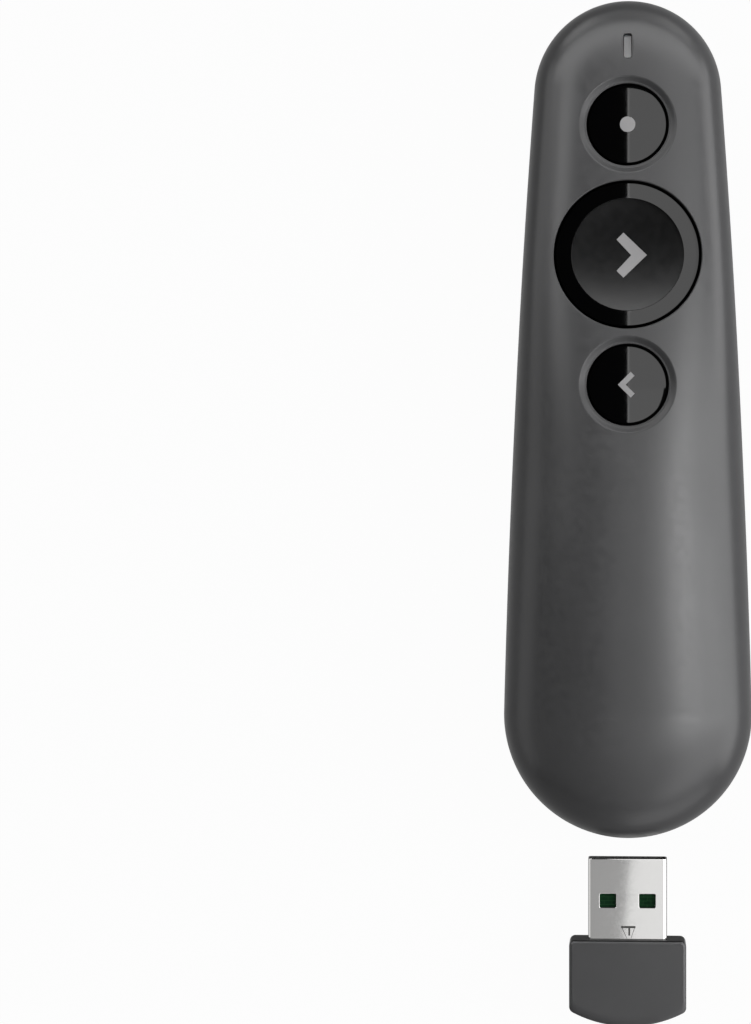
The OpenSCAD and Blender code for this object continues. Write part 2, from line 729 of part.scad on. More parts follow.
// Small parts on the board: a crystal, a row of capacitors behind it and a column of
// resistors on its far side from the radio chip
module board_parts() color(chip_colour) {
    height = 0.5;
    gap = 0.8;
    crystal = [-gap - crystal_length, back_button_y - radio_offset];
    translate([crystal[0], crystal[1], board_top]) cube([crystal_length, 1.5, 0.8]);
    for (i = [0 : 2])
        translate([crystal[0] + 0.4 + 1.75 * chip_part_width * i,
            crystal[1] - 2 * gap - chip_part_length, board_top])
            cube([chip_part_width, chip_part_length, height]);
    for (i = [0 : 3])
        translate([crystal[0] - 1.2 * gap - chip_part_length,
            crystal[1] + 1 - (chip_part_width + gap) * i, board_top])
            cube([chip_part_length, chip_part_width, height]);
}

// Push switch with a round bore for its plunger
module push_switch(y) color(chip_colour) difference() {
    slab([-switch_size / 2, switch_size / 2], [y - switch_size / 2, y + switch_size / 2],
        [board_top, switch_top]);
    rod_z(plunger_radius + running_gap, [switch_top - switch_bore_depth, switch_top + 1], [0, y]);
}
module laser_switch() push_switch(laser_button_y);
module next_switch() push_switch(next_button_y);
module back_switch() push_switch(back_button_y);

module switch_plunger(y) color(button_colour)
    rod_z(plunger_radius, [switch_top - plunger_depth, plunger_top], [0, y]);
module laser_switch_plunger() switch_plunger(laser_button_y);
module next_switch_plunger() switch_plunger(next_button_y);
module back_switch_plunger() switch_plunger(back_button_y);

// Small button: a revolved cap with a crowned top, a skirt with a flange under the
// sleeve, and a stem onto the switch's plunger
module small_button_cap(y) color(button_colour) {
    top = body_height - small_top_depth;
    flange_top = body_height - small_sleeve_depth - rest_gap;
    edge = 0.4;
    edge_z = top - pow(small_cap_radius, 2) / (2 * small_crown_radius) - edge;
    crown = [for (i = [0 : 6])
        let (r = (small_cap_radius - edge) * i / 6)
        [r, top - r * r / (2 * small_crown_radius)]];
    corner = [for (a = [60 : -30 : 0])
        [small_cap_radius - edge * (1 - cos(a)), edge_z + edge * sin(a)]];
    translate([0, y, 0]) rotate_extrude() polygon(concat(
        crown, corner,
        [[small_cap_radius, flange_top], [small_hole_radius + flange_reach, flange_top],
            [small_hole_radius + flange_reach, flange_top - flange_thickness],
            [small_cap_radius - skirt_wall, flange_top - flange_thickness],
            [small_cap_radius - skirt_wall, top - small_roof],
            [stem_radius, top - small_roof], [stem_radius, plunger_top], [0, plunger_top]]));
}
module laser_button_cap() small_button_cap(laser_button_y);
module back_button_cap() small_button_cap(back_button_y);

// Next button: a barrel-crowned cap with a round dish for the thumb
module next_button_cap() color(button_colour) translate([0, next_button_y, 0]) {
    top = body_height - next_top_depth;
    flange_top = body_height - next_sleeve_depth - rest_gap;
    dish_z = top - dish_rim_depth;
    roof_bottom = dish_z - dish_sag - next_roof;
    sphere_radius = (pow(dish_radius, 2) + pow(dish_sag, 2)) / (2 * dish_sag);
    difference() {
        union() {
            intersection() {
                rod_z(next_cap_radius, [flange_top - flange_thickness, past]);
                rod_y(next_crown_radius, [-past, past], top - next_crown_radius);
            }
            rod_z(next_hole_radius + flange_reach, [flange_top - flange_thickness, flange_top]);
        }
        rod_z(dish_radius, [dish_z, past]);
        intersection() {
            translate([0, 0, dish_z - dish_sag + sphere_radius])
                sphere(r = sphere_radius, $fn = 96);
            rod_z(dish_radius, [dish_z - dish_sag - 1, dish_z + 0.01]);
        }
        difference() {
            rod_z(next_cap_radius - skirt_wall, [0, roof_bottom]);
            rod_z(stem_radius, [plunger_top, past]);
        }
    }
}

// Status light: a chip on the board, and a clear pipe up to the deck
module status_led() color(light_colour)
    strip(light_width / 2, [light_y - 1, light_y + 1], [board_top, board_top + led_height]);

module light_pipe() color(light_colour) {
    half = light_length / 2;
    pipe_bottom = board_top + led_height + 0.2;
    light_prism(light_width / 2, half, pipe_bottom, light_recess);
    light_prism(light_width / 2 + light_flange, half + light_flange, pipe_bottom + 2,
        wall + 3 * rest_gap);
}
// A block under the deck at the light, whose top follows the deck at an inset
module light_prism(half_width, half_length, bottom, inset) {
    ys = [for (i = [-1 : 0.5 : 1]) light_y + i * half_length];
    translate([half_width, 0, 0]) rotate([0, -90, 0])
        linear_extrude(2 * half_width)
            polygon(concat([[bottom, ys[4]], [bottom, ys[0]]],
                [for (y = ys) [nose_deck_z(y, inset), y]]));
}

// Laser module in the nose, on the seam: a barrel with a diode behind and a lens in
// front, a flex strip to the board, and a bezel with a clear window in the nose
module laser_barrel() color(gold_colour) difference() {
    rod_y(barrel_radius, [barrel_back, barrel_front], laser_z);
    rod_y(barrel_radius - barrel_wall, [barrel_back + 1, barrel_front + 1], laser_z);
}
module laser_diode() color(metal_colour)
    rod_y(barrel_radius - barrel_wall - rest_gap, [barrel_back + 1, barrel_back + 3.5], laser_z);
module laser_lens() color(light_colour)
    rod_y(barrel_radius - barrel_wall - rest_gap, [barrel_front - 2.5, barrel_front - 1], laser_z);
module laser_flex() color(board_colour) {
    strip(1.5, [barrel_back - 0.3, barrel_back], [laser_z - 1.5, board_bottom - 0.2]);
    strip(1.5, [barrel_back - 4, barrel_back], [board_bottom - 0.2, board_bottom]);
}
module nose_bezel() color(button_colour) difference() {
    union() {
        rod_y(bezel_radius, [bezel_step - bezel_flange, bezel_front], laser_z);
        rod_y(bezel_radius + bezel_flange, [bezel_step - bezel_flange, bezel_step], laser_z);
    }
    rod_y(bezel_bore, [barrel_front, nose_tip], laser_z);
}
module nose_window() color([0.25, 0.05, 0.07]) {
    back = bezel_front - 2 * window_thickness;
    rod_y(bezel_bore - running_gap, [back, back + window_thickness], laser_z);
}

// AAA cell with its positive nub towards the nose
module battery_cell() color([0.55, 0.56, 0.6]) {
    rod_y(cell_radius, [cell_back, cell_front - nub_length], cell_z);
    rod_y(nub_radius, [cell_front - nub_length - 0.5, cell_front], cell_z);
}

// Conical spring between the negative contact and the cell: a tube of eight sides
// swept along a helix about the cell's axis
module battery_spring() color(metal_colour) {
    sides = 8;
    rings = round(24 * spring_turns);
    start = contact_back + contact_thickness + spring_wire;
    run = spring_length - 2 * spring_wire;
    points = [for (i = [0 : rings], s = [0 : sides - 1])
        let (t = i / rings, a = 360 * spring_turns * t, b = 360 * s / sides,
            r = mix(3.9, 1.9, t) + spring_wire * cos(b))
        [r * cos(a), start + run * t + spring_wire * sin(b), cell_z + r * sin(a)]];
    tube = [for (i = [0 : rings - 1], s = [0 : sides - 1])
        let (n = (s + 1) % sides, a = i * sides)
        [[a + s, a + n, a + sides + s], [a + n, a + sides + n, a + sides + s]]];
    polyhedron(points, concat(
        [for (pair = tube, f = pair) [f[2], f[1], f[0]]],
        [[for (s = [0 : sides - 1]) s], [for (s = [sides - 1 : -1 : 0]) rings * sides + s]]));
}

// Sheet contacts: a plate at each end of the cell, with a tail up to the board
module negative_contact() color(metal_colour) {
    front = contact_back + contact_thickness;
    tail = contact_tail_width / 2;
    strip(cell_radius - 0.5, [contact_back, front],
        [shelf_top + 0.2, tray_roof_bottom - 0.2]);
    strip(tail, [contact_back, front], [cell_z, tail_z + contact_thickness]);
    strip(tail, [contact_back, board_back + 2], [tail_z, tail_z + contact_thickness]);
    strip(tail, [board_back + 2 - contact_thickness, board_back + 2], [tail_z, board_bottom]);
}
module positive_contact() color(metal_colour) {
    back = contact_front - contact_thickness;
    strip(cell_radius - 1.5, [back, contact_front], [cell_z - 3.5, tray_roof_bottom - 0.2]);
    strip(contact_tail_width / 2, [back, contact_front], [cell_z, board_bottom]);
}

// Pan-head screws: two up through the shelf, four up through the board
module screw(seat) {
    rod_z(screw_head_radius, [seat - screw_head_height, seat]);
    rod_z(screw_radius, [seat - 0.2, seat + screw_length]);
}
module cover_screws() color(metal_colour) at_cover_screws() screw(shelf_bottom);
module board_screws() color(metal_colour) at_board_screws() screw(board_bottom);

// Battery door: a plate with a rolled hinge edge and two pins at the front, a
// latch tongue with a rounded nib at the back and a shallow scoop for a nail
module battery_door() color(case_colour) difference() {
    union() {
        translate([0, 0, door_recess]) linear_extrude(door_thickness) door_outline(0);
        rod_x(door_thickness / 2, [-door_half_width, door_half_width], hinge_y, hinge_z);
        rod_x(pin_radius,
            [-door_half_width - pin_length, door_half_width + pin_length], hinge_y, hinge_z);
        strip(latch_half_width, [door_back, door_back + 1],
            [door_top - 0.5, door_top + latch_height]);
        rod_x(0.3, [-latch_half_width, latch_half_width], door_back + 0.2,
            door_top + latch_height - 0.5);
    }
    rod_x(scoop_radius, [-scoop_width / 2, scoop_width / 2], door_back + scoop_inset,
        door_recess + scoop_depth - scoop_radius);
}
module door_pad() color(chip_colour)
    strip(pad_width / 2, [cell_back + pad_inset, cell_front - pad_inset],
        [door_top, door_top + pad_thickness]);

// Receiver: a moulded cap that completes the tail when docked, round a USB plug
module receiver_cap_blank() {
    half = cap_width / 2;
    hull() for (step = [[0, 1], [0.3, 0.3], [1, 0]])
        let (inset = step[1] * cap_round, rise = step[0] * cap_round)
        translate([0, 0, cap_rise + rise])
            linear_extrude(cap_thickness - 2 * rise)
                offset(r = cap_corner - inset, $fn = 32)
                    translate([cap_corner - half, cap_end - tail_radius])
                        square([cap_width - 2 * cap_corner,
                            cap_length + tail_radius - cap_corner]);
}
module receiver_cap() color(case_colour) difference() {
    intersection() {
        receiver_cap_blank();
        translate([0, -receiver_travel, 0]) skin_solid(-1);
    }
    strip(plug_width / 2 + rest_gap, [cap_front - cap_cavity, cap_front + 1],
        [plug_z - plug_height / 2 - rest_gap, plug_z + plug_height / 2 + rest_gap]);
}

// Cross-section of the plug's shell, drawn on X and Z
module plug_section(inset) {
    corner = 0.5;
    w = plug_width / 2 - inset;
    h = plug_height / 2 - inset;
    square([2 * w, 2 * (h - corner)], center = true);
    square([2 * (w - corner), 2 * h], center = true);
    for (x = [-1, 1], z = [-1, 1])
        translate([x * (w - corner), z * (h - corner)]) circle(r = corner);
}
module plug_prism(inset, y) {
    translate([0, y[1], plug_z]) rotate([90, 0, 0]) linear_extrude(y[1] - y[0])
        plug_section(inset);
}
module usb_shell() color(metal_colour) difference() {
    plug_prism(0, [cap_front - shell_hidden, plug_tip]);
    plug_prism(shell_wall, [cap_front - shell_hidden - 1, plug_tip + 1]);
    for (side = [-1, 1])
        translate([side * window_x, plug_tip - window_inset, plug_z])
            cube([window_width, window_length, 2 * plug_height], center = true);
}

// Insert that fills the upper half of the plug, with a bar across its mouth
module usb_insert() color(button_colour) {
    half = plug_width / 2 - shell_wall - 0.2;
    back = cap_front - shell_hidden;
    strip(half, [back, plug_tip - 0.6],
        [receiver_board_bottom - insert_thickness - rest_gap, receiver_board_bottom - rest_gap]);
    strip(half, [plug_tip - 1.4, plug_tip - 0.6],
        [receiver_board_bottom - insert_thickness, receiver_board_top]);
}
module usb_contacts() color(gold_colour)
    for (i = [-1.5 : 1.5])
        translate([i * contact_pitch, 0, receiver_board_bottom - insert_thickness - rest_gap - 0.15])
            strip(contact_width / 2,
                [plug_tip - contact_inset - contact_length, plug_tip - contact_inset], [0, 0.15]);
module receiver_board() color(board_colour)
    strip(plug_width / 2 - shell_wall - 0.2, [cap_front - cap_cavity + 0.3, plug_tip - 1.5],
        [receiver_board_bottom, receiver_board_top]);
module receiver_chip() color(chip_colour) {
    back = cap_front - cap_cavity + 0.6;
    strip(receiver_chip_size / 2, [back, back + receiver_chip_size],
        [receiver_board_bottom - 1, receiver_board_bottom]);
}

top_cover();
bottom_cover();
receiver_dock();
battery_tray();
main_board();
radio_chip();
board_parts();
laser_switch();
next_switch();
back_switch();
status_led();
light_pipe();
laser_barrel();
laser_diode();
laser_lens();
laser_flex();
nose_bezel();
nose_window();
battery_cell();
battery_spring();
negative_contact();
positive_contact();
cover_screws();
board_screws();
laser_button_cap();
laser_switch_plunger();
next_button_cap();
next_switch_plunger();
back_button_cap();
back_switch_plunger();
battery_door();
door_pad();
receiver_cap();
usb_shell();
usb_insert();
usb_contacts();
receiver_board();
receiver_chip();
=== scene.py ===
"""Looks of a wireless presentation clicker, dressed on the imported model.

The clicker lies on its back on z = 0: +Y is the way the nose points, +Z comes out of
the button deck. Shapes are worked out in millimetres and turned into metres by
new_piece(). Every outer form is rebuilt from the same curves as the solids, finely
enough for smooth light, with the small roundings that moulded parts have.
"""
import math

import bmesh
import bpy
import numpy as np
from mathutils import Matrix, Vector


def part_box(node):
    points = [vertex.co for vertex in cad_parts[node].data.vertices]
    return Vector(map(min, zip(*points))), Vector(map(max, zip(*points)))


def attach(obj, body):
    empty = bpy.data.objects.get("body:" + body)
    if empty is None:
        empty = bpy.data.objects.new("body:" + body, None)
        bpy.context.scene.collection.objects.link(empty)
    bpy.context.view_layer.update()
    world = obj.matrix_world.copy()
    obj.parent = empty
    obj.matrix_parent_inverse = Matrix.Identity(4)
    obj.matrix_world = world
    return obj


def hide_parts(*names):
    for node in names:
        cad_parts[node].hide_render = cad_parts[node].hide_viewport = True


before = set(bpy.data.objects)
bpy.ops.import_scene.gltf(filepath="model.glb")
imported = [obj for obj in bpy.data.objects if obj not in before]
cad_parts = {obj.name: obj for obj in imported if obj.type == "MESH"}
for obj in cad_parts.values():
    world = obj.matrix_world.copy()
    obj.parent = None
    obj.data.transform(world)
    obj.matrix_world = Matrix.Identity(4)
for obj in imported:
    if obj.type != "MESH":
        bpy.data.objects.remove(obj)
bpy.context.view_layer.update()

MM = 0.001


def node_box(name):
    """Lowest and highest corner of a node, in millimetres."""
    low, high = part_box(name)
    return np.array(low) / MM, np.array(high) / MM


def middle_y(name):
    return sum(node_box(name))[1] / 2


# ------ sizes, millimetres

# Body: plan radii, heights, wall and the powers of its skin's curves
NOSE_RADIUS = 14.0
TAIL_RADIUS = 18.6
SIDE_RADIUS = 1900.0
SEAM = 13.0
WALL = 1.8
NOSE_LIFT = 5.5
LIFT_LENGTH = 30.0
PALM_DROP = 1.1
LAND_DEPTH = 1.2
DECK_POWER = 4.0
PALM_POWER = 2.7
BACK_POWER = 3.0
BLEND_LENGTH = 40.0
TAIL_TIP = node_box("top_cover")[0][1]
NOSE_TIP = -node_box("receiver_cap")[0][1]
DECK = node_box("top_cover")[1][2]
NOSE_Y = NOSE_TIP - NOSE_RADIUS
TAIL_Y = TAIL_TIP + TAIL_RADIUS
RIM_ROUND = 0.18
RIM_GAP = 0.03

# Side arcs that touch the nose arc and the tail arc from inside
END_DISTANCE = NOSE_Y - TAIL_Y
SIDE_Y = TAIL_Y + ((SIDE_RADIUS - TAIL_RADIUS) ** 2 - (SIDE_RADIUS - NOSE_RADIUS) ** 2
                   + END_DISTANCE ** 2) / (2 * END_DISTANCE)
SIDE_X = -math.sqrt((SIDE_RADIUS - TAIL_RADIUS) ** 2 - (SIDE_Y - TAIL_Y) ** 2)
NOSE_ANGLE = math.atan2(NOSE_Y - SIDE_Y, -SIDE_X)
TAIL_ANGLE = math.atan2(TAIL_Y - SIDE_Y, -SIDE_X)

# Buttons
LASER_BUTTON_Y = middle_y("laser_button_cap")
NEXT_BUTTON_Y = middle_y("next_button_cap")
BACK_BUTTON_Y = middle_y("back_button_cap")
SMALL_HOLE = 6.05
NEXT_HOLE = 10.9
BUTTON_GAP = 0.35
SLEEVE_WALL = 0.95
SEAT_RADIUS = 7.1
SEAT_DEPTH = 0.5
SMALL_CROWN = 60.0
NEXT_CROWN = 70.0
DISH_RADIUS = 8.25
DISH_RIM_DEPTH = 0.7
DISH_SAG = 1.0
DISH_FLOOR = 0.4
SKIRT_WALL = 1.0
FLANGE_REACH = 0.6
FLANGE_THICKNESS = 0.8
STEM_RADIUS = 1.6
CAP_EDGE = 0.12

# The gap between parts that touch, and depths below the deck and under a cap's top
REST_GAP = 0.05
SMALL_TOP_DEPTH = 0.25
NEXT_TOP_DEPTH = 0.1
SMALL_SLEEVE_DEPTH = 3.2
NEXT_SLEEVE_DEPTH = 4.4
SMALL_ROOF = 1.4
NEXT_ROOF = 1.3
PRINT_RISE = 0.03             # how far an icon stands out of its cap, and lies in it
PRINT_SINK = 0.05

# Status light
LIGHT_Y = middle_y("light_pipe")
LIGHT_HALF = (0.56, 1.75)
LIGHT_RECESS = (0.1, 0.6)     # the window is sunk more towards the nose

# Laser bezel: front, step behind the neck and back of the flange, and its radii
BEZEL_FRONT = NOSE_TIP - 0.6
BEZEL_BACK = node_box("nose_bezel")[0][1]
BEZEL_STEP = BEZEL_BACK + 0.8
BEZEL_BORE = 2.4
BEZEL_NECK = 3.6
BEZEL_FLANGE = 4.4

# Receiver and its plug, and the pocket and the channel that they dock in
CAP_LOW, CAP_HIGH = node_box("receiver_cap")
CAP_FRONT = CAP_HIGH[1]
CAP_CORNER = 0.9
CAP_ROUND = 0.5
CAP_END_ROUND = 1.6
CAP_CAVITY = 8.0
SHELL_LOW, SHELL_HIGH = node_box("usb_shell")
PLUG_HALF = ((SHELL_HIGH[0] - SHELL_LOW[0]) / 2, (SHELL_HIGH[2] - SHELL_LOW[2]) / 2)
PLUG_TIP = SHELL_HIGH[1]
PLUG_Z = (SHELL_LOW[2] + SHELL_HIGH[2]) / 2
SHELL_WALL = 0.3
WINDOW_HALF = (1.25, 1.05)
WINDOW_X = 3.0
WINDOW_Y = PLUG_TIP - 6.4
GAP = 0.25
POCKET_WALL = 1.2
TRAVEL = TAIL_TIP - CAP_LOW[1] + TAIL_RADIUS * (
    1 - (1 - ((SEAM - CAP_HIGH[2]) / (SEAM + LAND_DEPTH)) ** BACK_POWER) ** (1 / BACK_POWER))
POCKET_FRONT = CAP_FRONT + TRAVEL + GAP
CHANNEL_END = PLUG_TIP + TRAVEL + 0.3
POCKET_TOP = CAP_HIGH[2] + GAP

# Battery door and the shelf over its latch
DOOR_LOW, DOOR_HIGH = node_box("battery_door")
DOOR_HALF = 8.0
DOOR_FACE = DOOR_LOW[2]
DOOR_THICKNESS = 1.5
DOOR_BACK = DOOR_LOW[1] + 0.1
DOOR_CORNER = 2.0
DOOR_GAP = 0.2
HINGE_Y = DOOR_HIGH[1] - DOOR_THICKNESS / 2
HINGE_Z = DOOR_FACE + DOOR_THICKNESS / 2
PIN_RADIUS = 0.45
LATCH_HALF = 3.0
SCREW_LOW, SCREW_HIGH = node_box("cover_screws")
SHELF_BOTTOM = SCREW_LOW[2] + 1.1
SHELF_TOP = SHELF_BOTTOM + POCKET_WALL
SCREW_X = 5.6
SCREW_Y = middle_y("cover_screws")
SHELF_END = SCREW_Y + 3.2


# ------ the skin

def smooth(t):
    t = np.clip(t, 0, 1)
    return t * t * (3 - 2 * t)


def deck_height(y):
    """Height of the deck over the spine at y."""
    below = np.maximum(0, (BACK_BUTTON_Y - y) / (BACK_BUTTON_Y - TAIL_Y))
    return DECK - PALM_DROP * below ** 2


def back_height(y):
    """Height of the back's skin over the spine at y, before the flat land is cut."""
    return -LAND_DEPTH + (NOSE_LIFT + LAND_DEPTH) * smooth((y - NOSE_Y + LIFT_LENGTH) / LIFT_LENGTH)


def skin_power(side, y):
    if side < 0:
        return np.full_like(y, BACK_POWER)
    return DECK_POWER + (PALM_POWER - DECK_POWER) * smooth((NEXT_BUTTON_Y - y) / BLEND_LENGTH + 0.1)


def skin_height(side, inset, y):
    if side > 0:
        return deck_height(y) - inset
    return np.maximum(0, back_height(y)) + inset if inset > 0 else back_height(y)


def outline(inset, nose_steps, side_steps, tail_steps):
    """Points of the body's outline, counter-clockwise, as x, y, the facing spine's y and
    each point's index on the spine, from 0 at the nose."""
    def end(turn, radius, centre, index):
        return [(radius - inset) * np.cos(turn), centre + (radius - inset) * np.sin(turn),
                np.full(len(turn), centre), np.full(len(turn), index)]

    nose = np.linspace(NOSE_ANGLE, math.pi - NOSE_ANGLE, nose_steps + 1)
    side = np.linspace(NOSE_ANGLE, TAIL_ANGLE, side_steps + 1)[1:-1]
    tail = np.linspace(math.pi - TAIL_ANGLE, 2 * math.pi + TAIL_ANGLE, tail_steps + 1)
    radius = SIDE_RADIUS - inset
    x, *rest = (SIDE_X + radius * np.cos(side), SIDE_Y + radius * np.sin(side),
                SIDE_Y - SIDE_X * np.tan(side), np.arange(1, side_steps))
    return [np.concatenate(values) for values in zip(
        end(nose, NOSE_RADIUS, NOSE_Y, 0), [-x, *rest],
        end(tail, TAIL_RADIUS, TAIL_Y, side_steps), [value[::-1] for value in (x, *rest)])]


def skin_ring(side, inset, angle, steps):
    """One ring of the skin: angle is 90 degrees on the rim and 0 on the spine."""
    x, y, spine, _ = outline(inset, *steps)
    power = skin_power(side, spine)
    reach = math.sin(angle) ** (2 / power)
    rise = max(0.0, math.cos(angle)) ** (2 / power)
    z = SEAM + (skin_height(side, inset, spine) - SEAM) * rise
    return np.stack([x * reach, spine + (y - spine) * reach, z], axis=1)


def skin_spine(side, inset, steps):
    """The ring that lies on the spine, one point for each outline point."""
    _, _, spine, index = outline(inset, *steps)
    points = np.stack([np.zeros_like(spine), spine, skin_height(side, inset, spine)], axis=1)
    _, first = np.unique(index, return_index=True)
    return points[first], index


def plan_ratio(x, y):
    """How far out of the spine a plan point is, 0 to 1 on the outline, and its spine y."""
    x = np.abs(x)
    in_nose = (y - NOSE_Y) >= x * math.tan(NOSE_ANGLE)
    in_tail = (y - TAIL_Y) <= x * math.tan(TAIL_ANGLE)
    angle = np.arctan2(y - SIDE_Y, x - SIDE_X)
    spine_distance = -SIDE_X / np.cos(angle)
    ratio = (np.hypot(x - SIDE_X, y - SIDE_Y) - spine_distance) / (SIDE_RADIUS - spine_distance)
    spine = SIDE_Y - SIDE_X * np.tan(angle)
    ratio = np.where(in_nose, np.hypot(x, y - NOSE_Y) / NOSE_RADIUS, ratio)
    ratio = np.where(in_tail, np.hypot(x, y - TAIL_Y) / TAIL_RADIUS, ratio)
    spine = np.where(in_nose, NOSE_Y, np.where(in_tail, TAIL_Y, spine))
    return np.clip(ratio, 0, None), spine


def skin_level(side, points):
    """0 on the outer skin, less inside and more outside."""
    ratio, spine = plan_ratio(points[:, 0], points[:, 1])
    power = skin_power(side, spine)
    depth = np.abs((points[:, 2] - SEAM) / (skin_height(side, 0, spine) - SEAM))
    return ratio ** power + depth ** power - 1


def skin_normals(side, points):
    """Outward normals of the outer skin at points on it."""
    step = 0.002
    slope = np.empty_like(points)
    for axis in range(3):
        offset = np.zeros(3)
        offset[axis] = step
        slope[:, axis] = skin_level(side, points + offset) - skin_level(side, points - offset)
    length = np.linalg.norm(slope, axis=1, keepdims=True)
    up = np.tile([0.0, 0.0, float(side)], (len(points), 1))
    return np.where(length > 1e-12, slope / np.maximum(length, 1e-12), up)


def skin_z(x, y):
    """Height of the deck's outer skin over plan points."""
    ratio, spine = plan_ratio(np.asarray(x, float), np.asarray(y, float))
    power = skin_power(1, spine)
    rise = np.maximum(0, 1 - np.minimum(ratio, 1) ** power) ** (1 / power)
    return SEAM + (deck_height(spine) - SEAM) * rise


def nose_skin_y(x, z):
    """How far the nose's outer skin reaches at x and z."""
    on_top = z >= SEAM
    power = np.where(on_top, DECK_POWER, BACK_POWER)
    rise = np.abs((z - SEAM) / (np.where(on_top, DECK, NOSE_LIFT) - SEAM))
    reach = NOSE_RADIUS * (1 - np.minimum(1, rise) ** power) ** (1 / power)
    return NOSE_Y + np.sqrt(np.maximum(0, reach ** 2 - x ** 2))


# ------ mesh tools

def add_object(name, data):
    made = bpy.data.objects.new(name, data)
    bpy.context.scene.collection.objects.link(made)
    return made


def new_piece(name, points, faces, materials=(), face_slots=None):
    """A mesh object from points in millimetres."""
    mesh = bpy.data.meshes.new(name)
    mesh.from_pydata((np.asarray(points, float) * MM).tolist(), [], faces)
    mesh.validate()
    for material in materials:
        mesh.materials.append(material)
    if face_slots is not None:
        mesh.polygons.foreach_set("material_index", np.asarray(face_slots, np.int32))
    mesh.polygons.foreach_set("use_smooth", np.ones(len(mesh.polygons), bool))
    mesh.update()
    return add_object(name, mesh)


def band_faces(rings):
    """Quads between rings of point indices, with the triangles that repeats leave."""
    faces = []
    for a, b in zip(rings[:-1], rings[1:]):
        for i in range(len(a)):
            j = (i + 1) % len(a)
            corners = [a[i], a[j], b[j], b[i]]
            face = [c for k, c in enumerate(corners) if c != corners[k - 1]]
            if len(face) > 2:
                faces.append(face)
    return faces


def stack_rings(rings, loop=False):
    """Points and faces of a closed tube through rings of equal length, bottom to top.

    With loop, the last ring joins the first, as in a pipe with a wall.
    """
    count = len(rings[0])
    index = [list(range(k * count, (k + 1) * count)) for k in range(len(rings))]
    faces = band_faces(index + index[:1] if loop else index)
    if not loop:
        faces += [index[0][::-1], index[-1]]
    return np.concatenate(rings), faces


def lathe(profile, steps, centre=(0.0, 0.0), loop=False):
    """Points and faces of a solid turned about Z from (radius, z) points.

    A radius of 0 is a point on the axis, and z may be a function of x and y. The profile
    runs from the bottom to the top, and with loop back to its start.
    """
    points, rings = [], []
    turn = np.linspace(0, 2 * math.pi, steps, endpoint=False)
    for radius, z in profile:
        x, y = centre[0] + radius * np.cos(turn), centre[1] + radius * np.sin(turn)
        ring = at_height(np.column_stack([x, y]), z(x, y) if callable(z) else z)
        first = len(points)
        points.extend(ring if radius else ring[:1])
        rings.append(range(first, first + steps) if radius else [first] * steps)
    return np.array(points), band_faces(rings + rings[:1] if loop else rings)


def turned_to_y(mesh, height):
    """A mesh made about Z, laid along Y at a height."""
    points, faces = mesh
    points = points[:, [1, 2, 0]]
    points[:, 2] += height
    return points, faces


def arc(centre, radius, start, end, steps):
    """Points of an arc in degrees, for profiles."""
    turn = np.radians(np.linspace(start, end, steps + 1))
    return [(centre[0] + radius * math.cos(a), centre[1] + radius * math.sin(a)) for a in turn]


def round_rectangle(half, radius, grow=0.0, steps=6, centre=(0.0, 0.0)):
    """Plan points of a rectangle with round corners, counter-clockwise."""
    points = []
    for turn, sx, sy in ((0, 1, 1), (90, -1, 1), (180, -1, -1), (270, 1, -1)):
        corner = (centre[0] + sx * (half[0] + grow - radius),
                  centre[1] + sy * (half[1] + grow - radius))
        points += arc(corner, radius, turn, turn + 90, steps)
    return np.array(points)


def round_edge(radius, end=90, steps=5):
    """(inset, rise) steps of a rounded edge, from square to the wall to square to the face."""
    return [(radius * (1 - math.cos(a)), radius * (1 - math.sin(a)))
            for a in np.radians(np.linspace(0, end, steps + 1))]


def at_height(plan, z):
    """Plan points at a height, or at a height each."""
    return np.column_stack([plan, np.broadcast_to(z, len(plan))])


def upright(plan_at, levels):
    """A solid that stands upright: plan_at(grow) is its outline, levels are (grow, z)."""
    return stack_rings([at_height(plan_at(grow), z) for grow, z in levels])


def round_bar(half, corner, centre, levels, steps=5):
    """An upright bar whose outline is a rectangle with round corners."""
    return upright(lambda grow: round_rectangle(half, corner + grow, grow, steps, centre), levels)


def box_mesh(low, high):
    (x0, y0, z0), (x1, y1, z1) = low, high
    plan = [(x0, y0), (x1, y0), (x1, y1), (x0, y1)]
    points, faces = upright(lambda _: plan, [(0, z0), (0, z1)])
    return points, faces[-2:] + faces[:-2]


def rod(radius, low, high, steps):
    """A cylinder between two ends that differ on one axis."""
    low, high = np.array(low, float), np.array(high, float)
    axis = int(np.argmax(np.abs(high - low)))
    start, end = low[axis], high[axis]
    points, faces = lathe([(0, start), (radius, start), (radius, end), (0, end)], steps)
    points = points[:, np.roll(range(3), axis + 1)]
    low[axis] = 0
    return points + low, faces


def crosswise(radius, half, y, z, steps=48):
    """A rod that lies across the body."""
    return rod(radius, (-half, y, z), (half, y, z), steps)


def join_meshes(parts):
    """One list of points and faces out of several."""
    points, faces, count = [], [], 0
    for part_points, part_faces in parts:
        points.append(np.asarray(part_points, float))
        faces += [[i + count for i in face] for face in part_faces]
        count += len(part_points)
    return np.concatenate(points), faces


def read(items, attribute, kind=float, width=1):
    """An attribute of all vertices, loops or faces as an array."""
    values = np.empty(len(items) * width, kind)
    items.foreach_get(attribute, values)
    return values.reshape(-1, width) if width > 1 else values


def take_mesh(piece):
    """Points and faces of a piece, which is deleted."""
    points = read(piece.data.vertices, "co", width=3) / MM
    faces = [list(face.vertices) for face in piece.data.polygons]
    bpy.data.objects.remove(piece)
    return points, faces


def apply_modifiers(piece):
    made = bpy.data.meshes.new_from_object(
        piece.evaluated_get(bpy.context.evaluated_depsgraph_get()))
    piece.modifiers.clear()
    piece.data = made


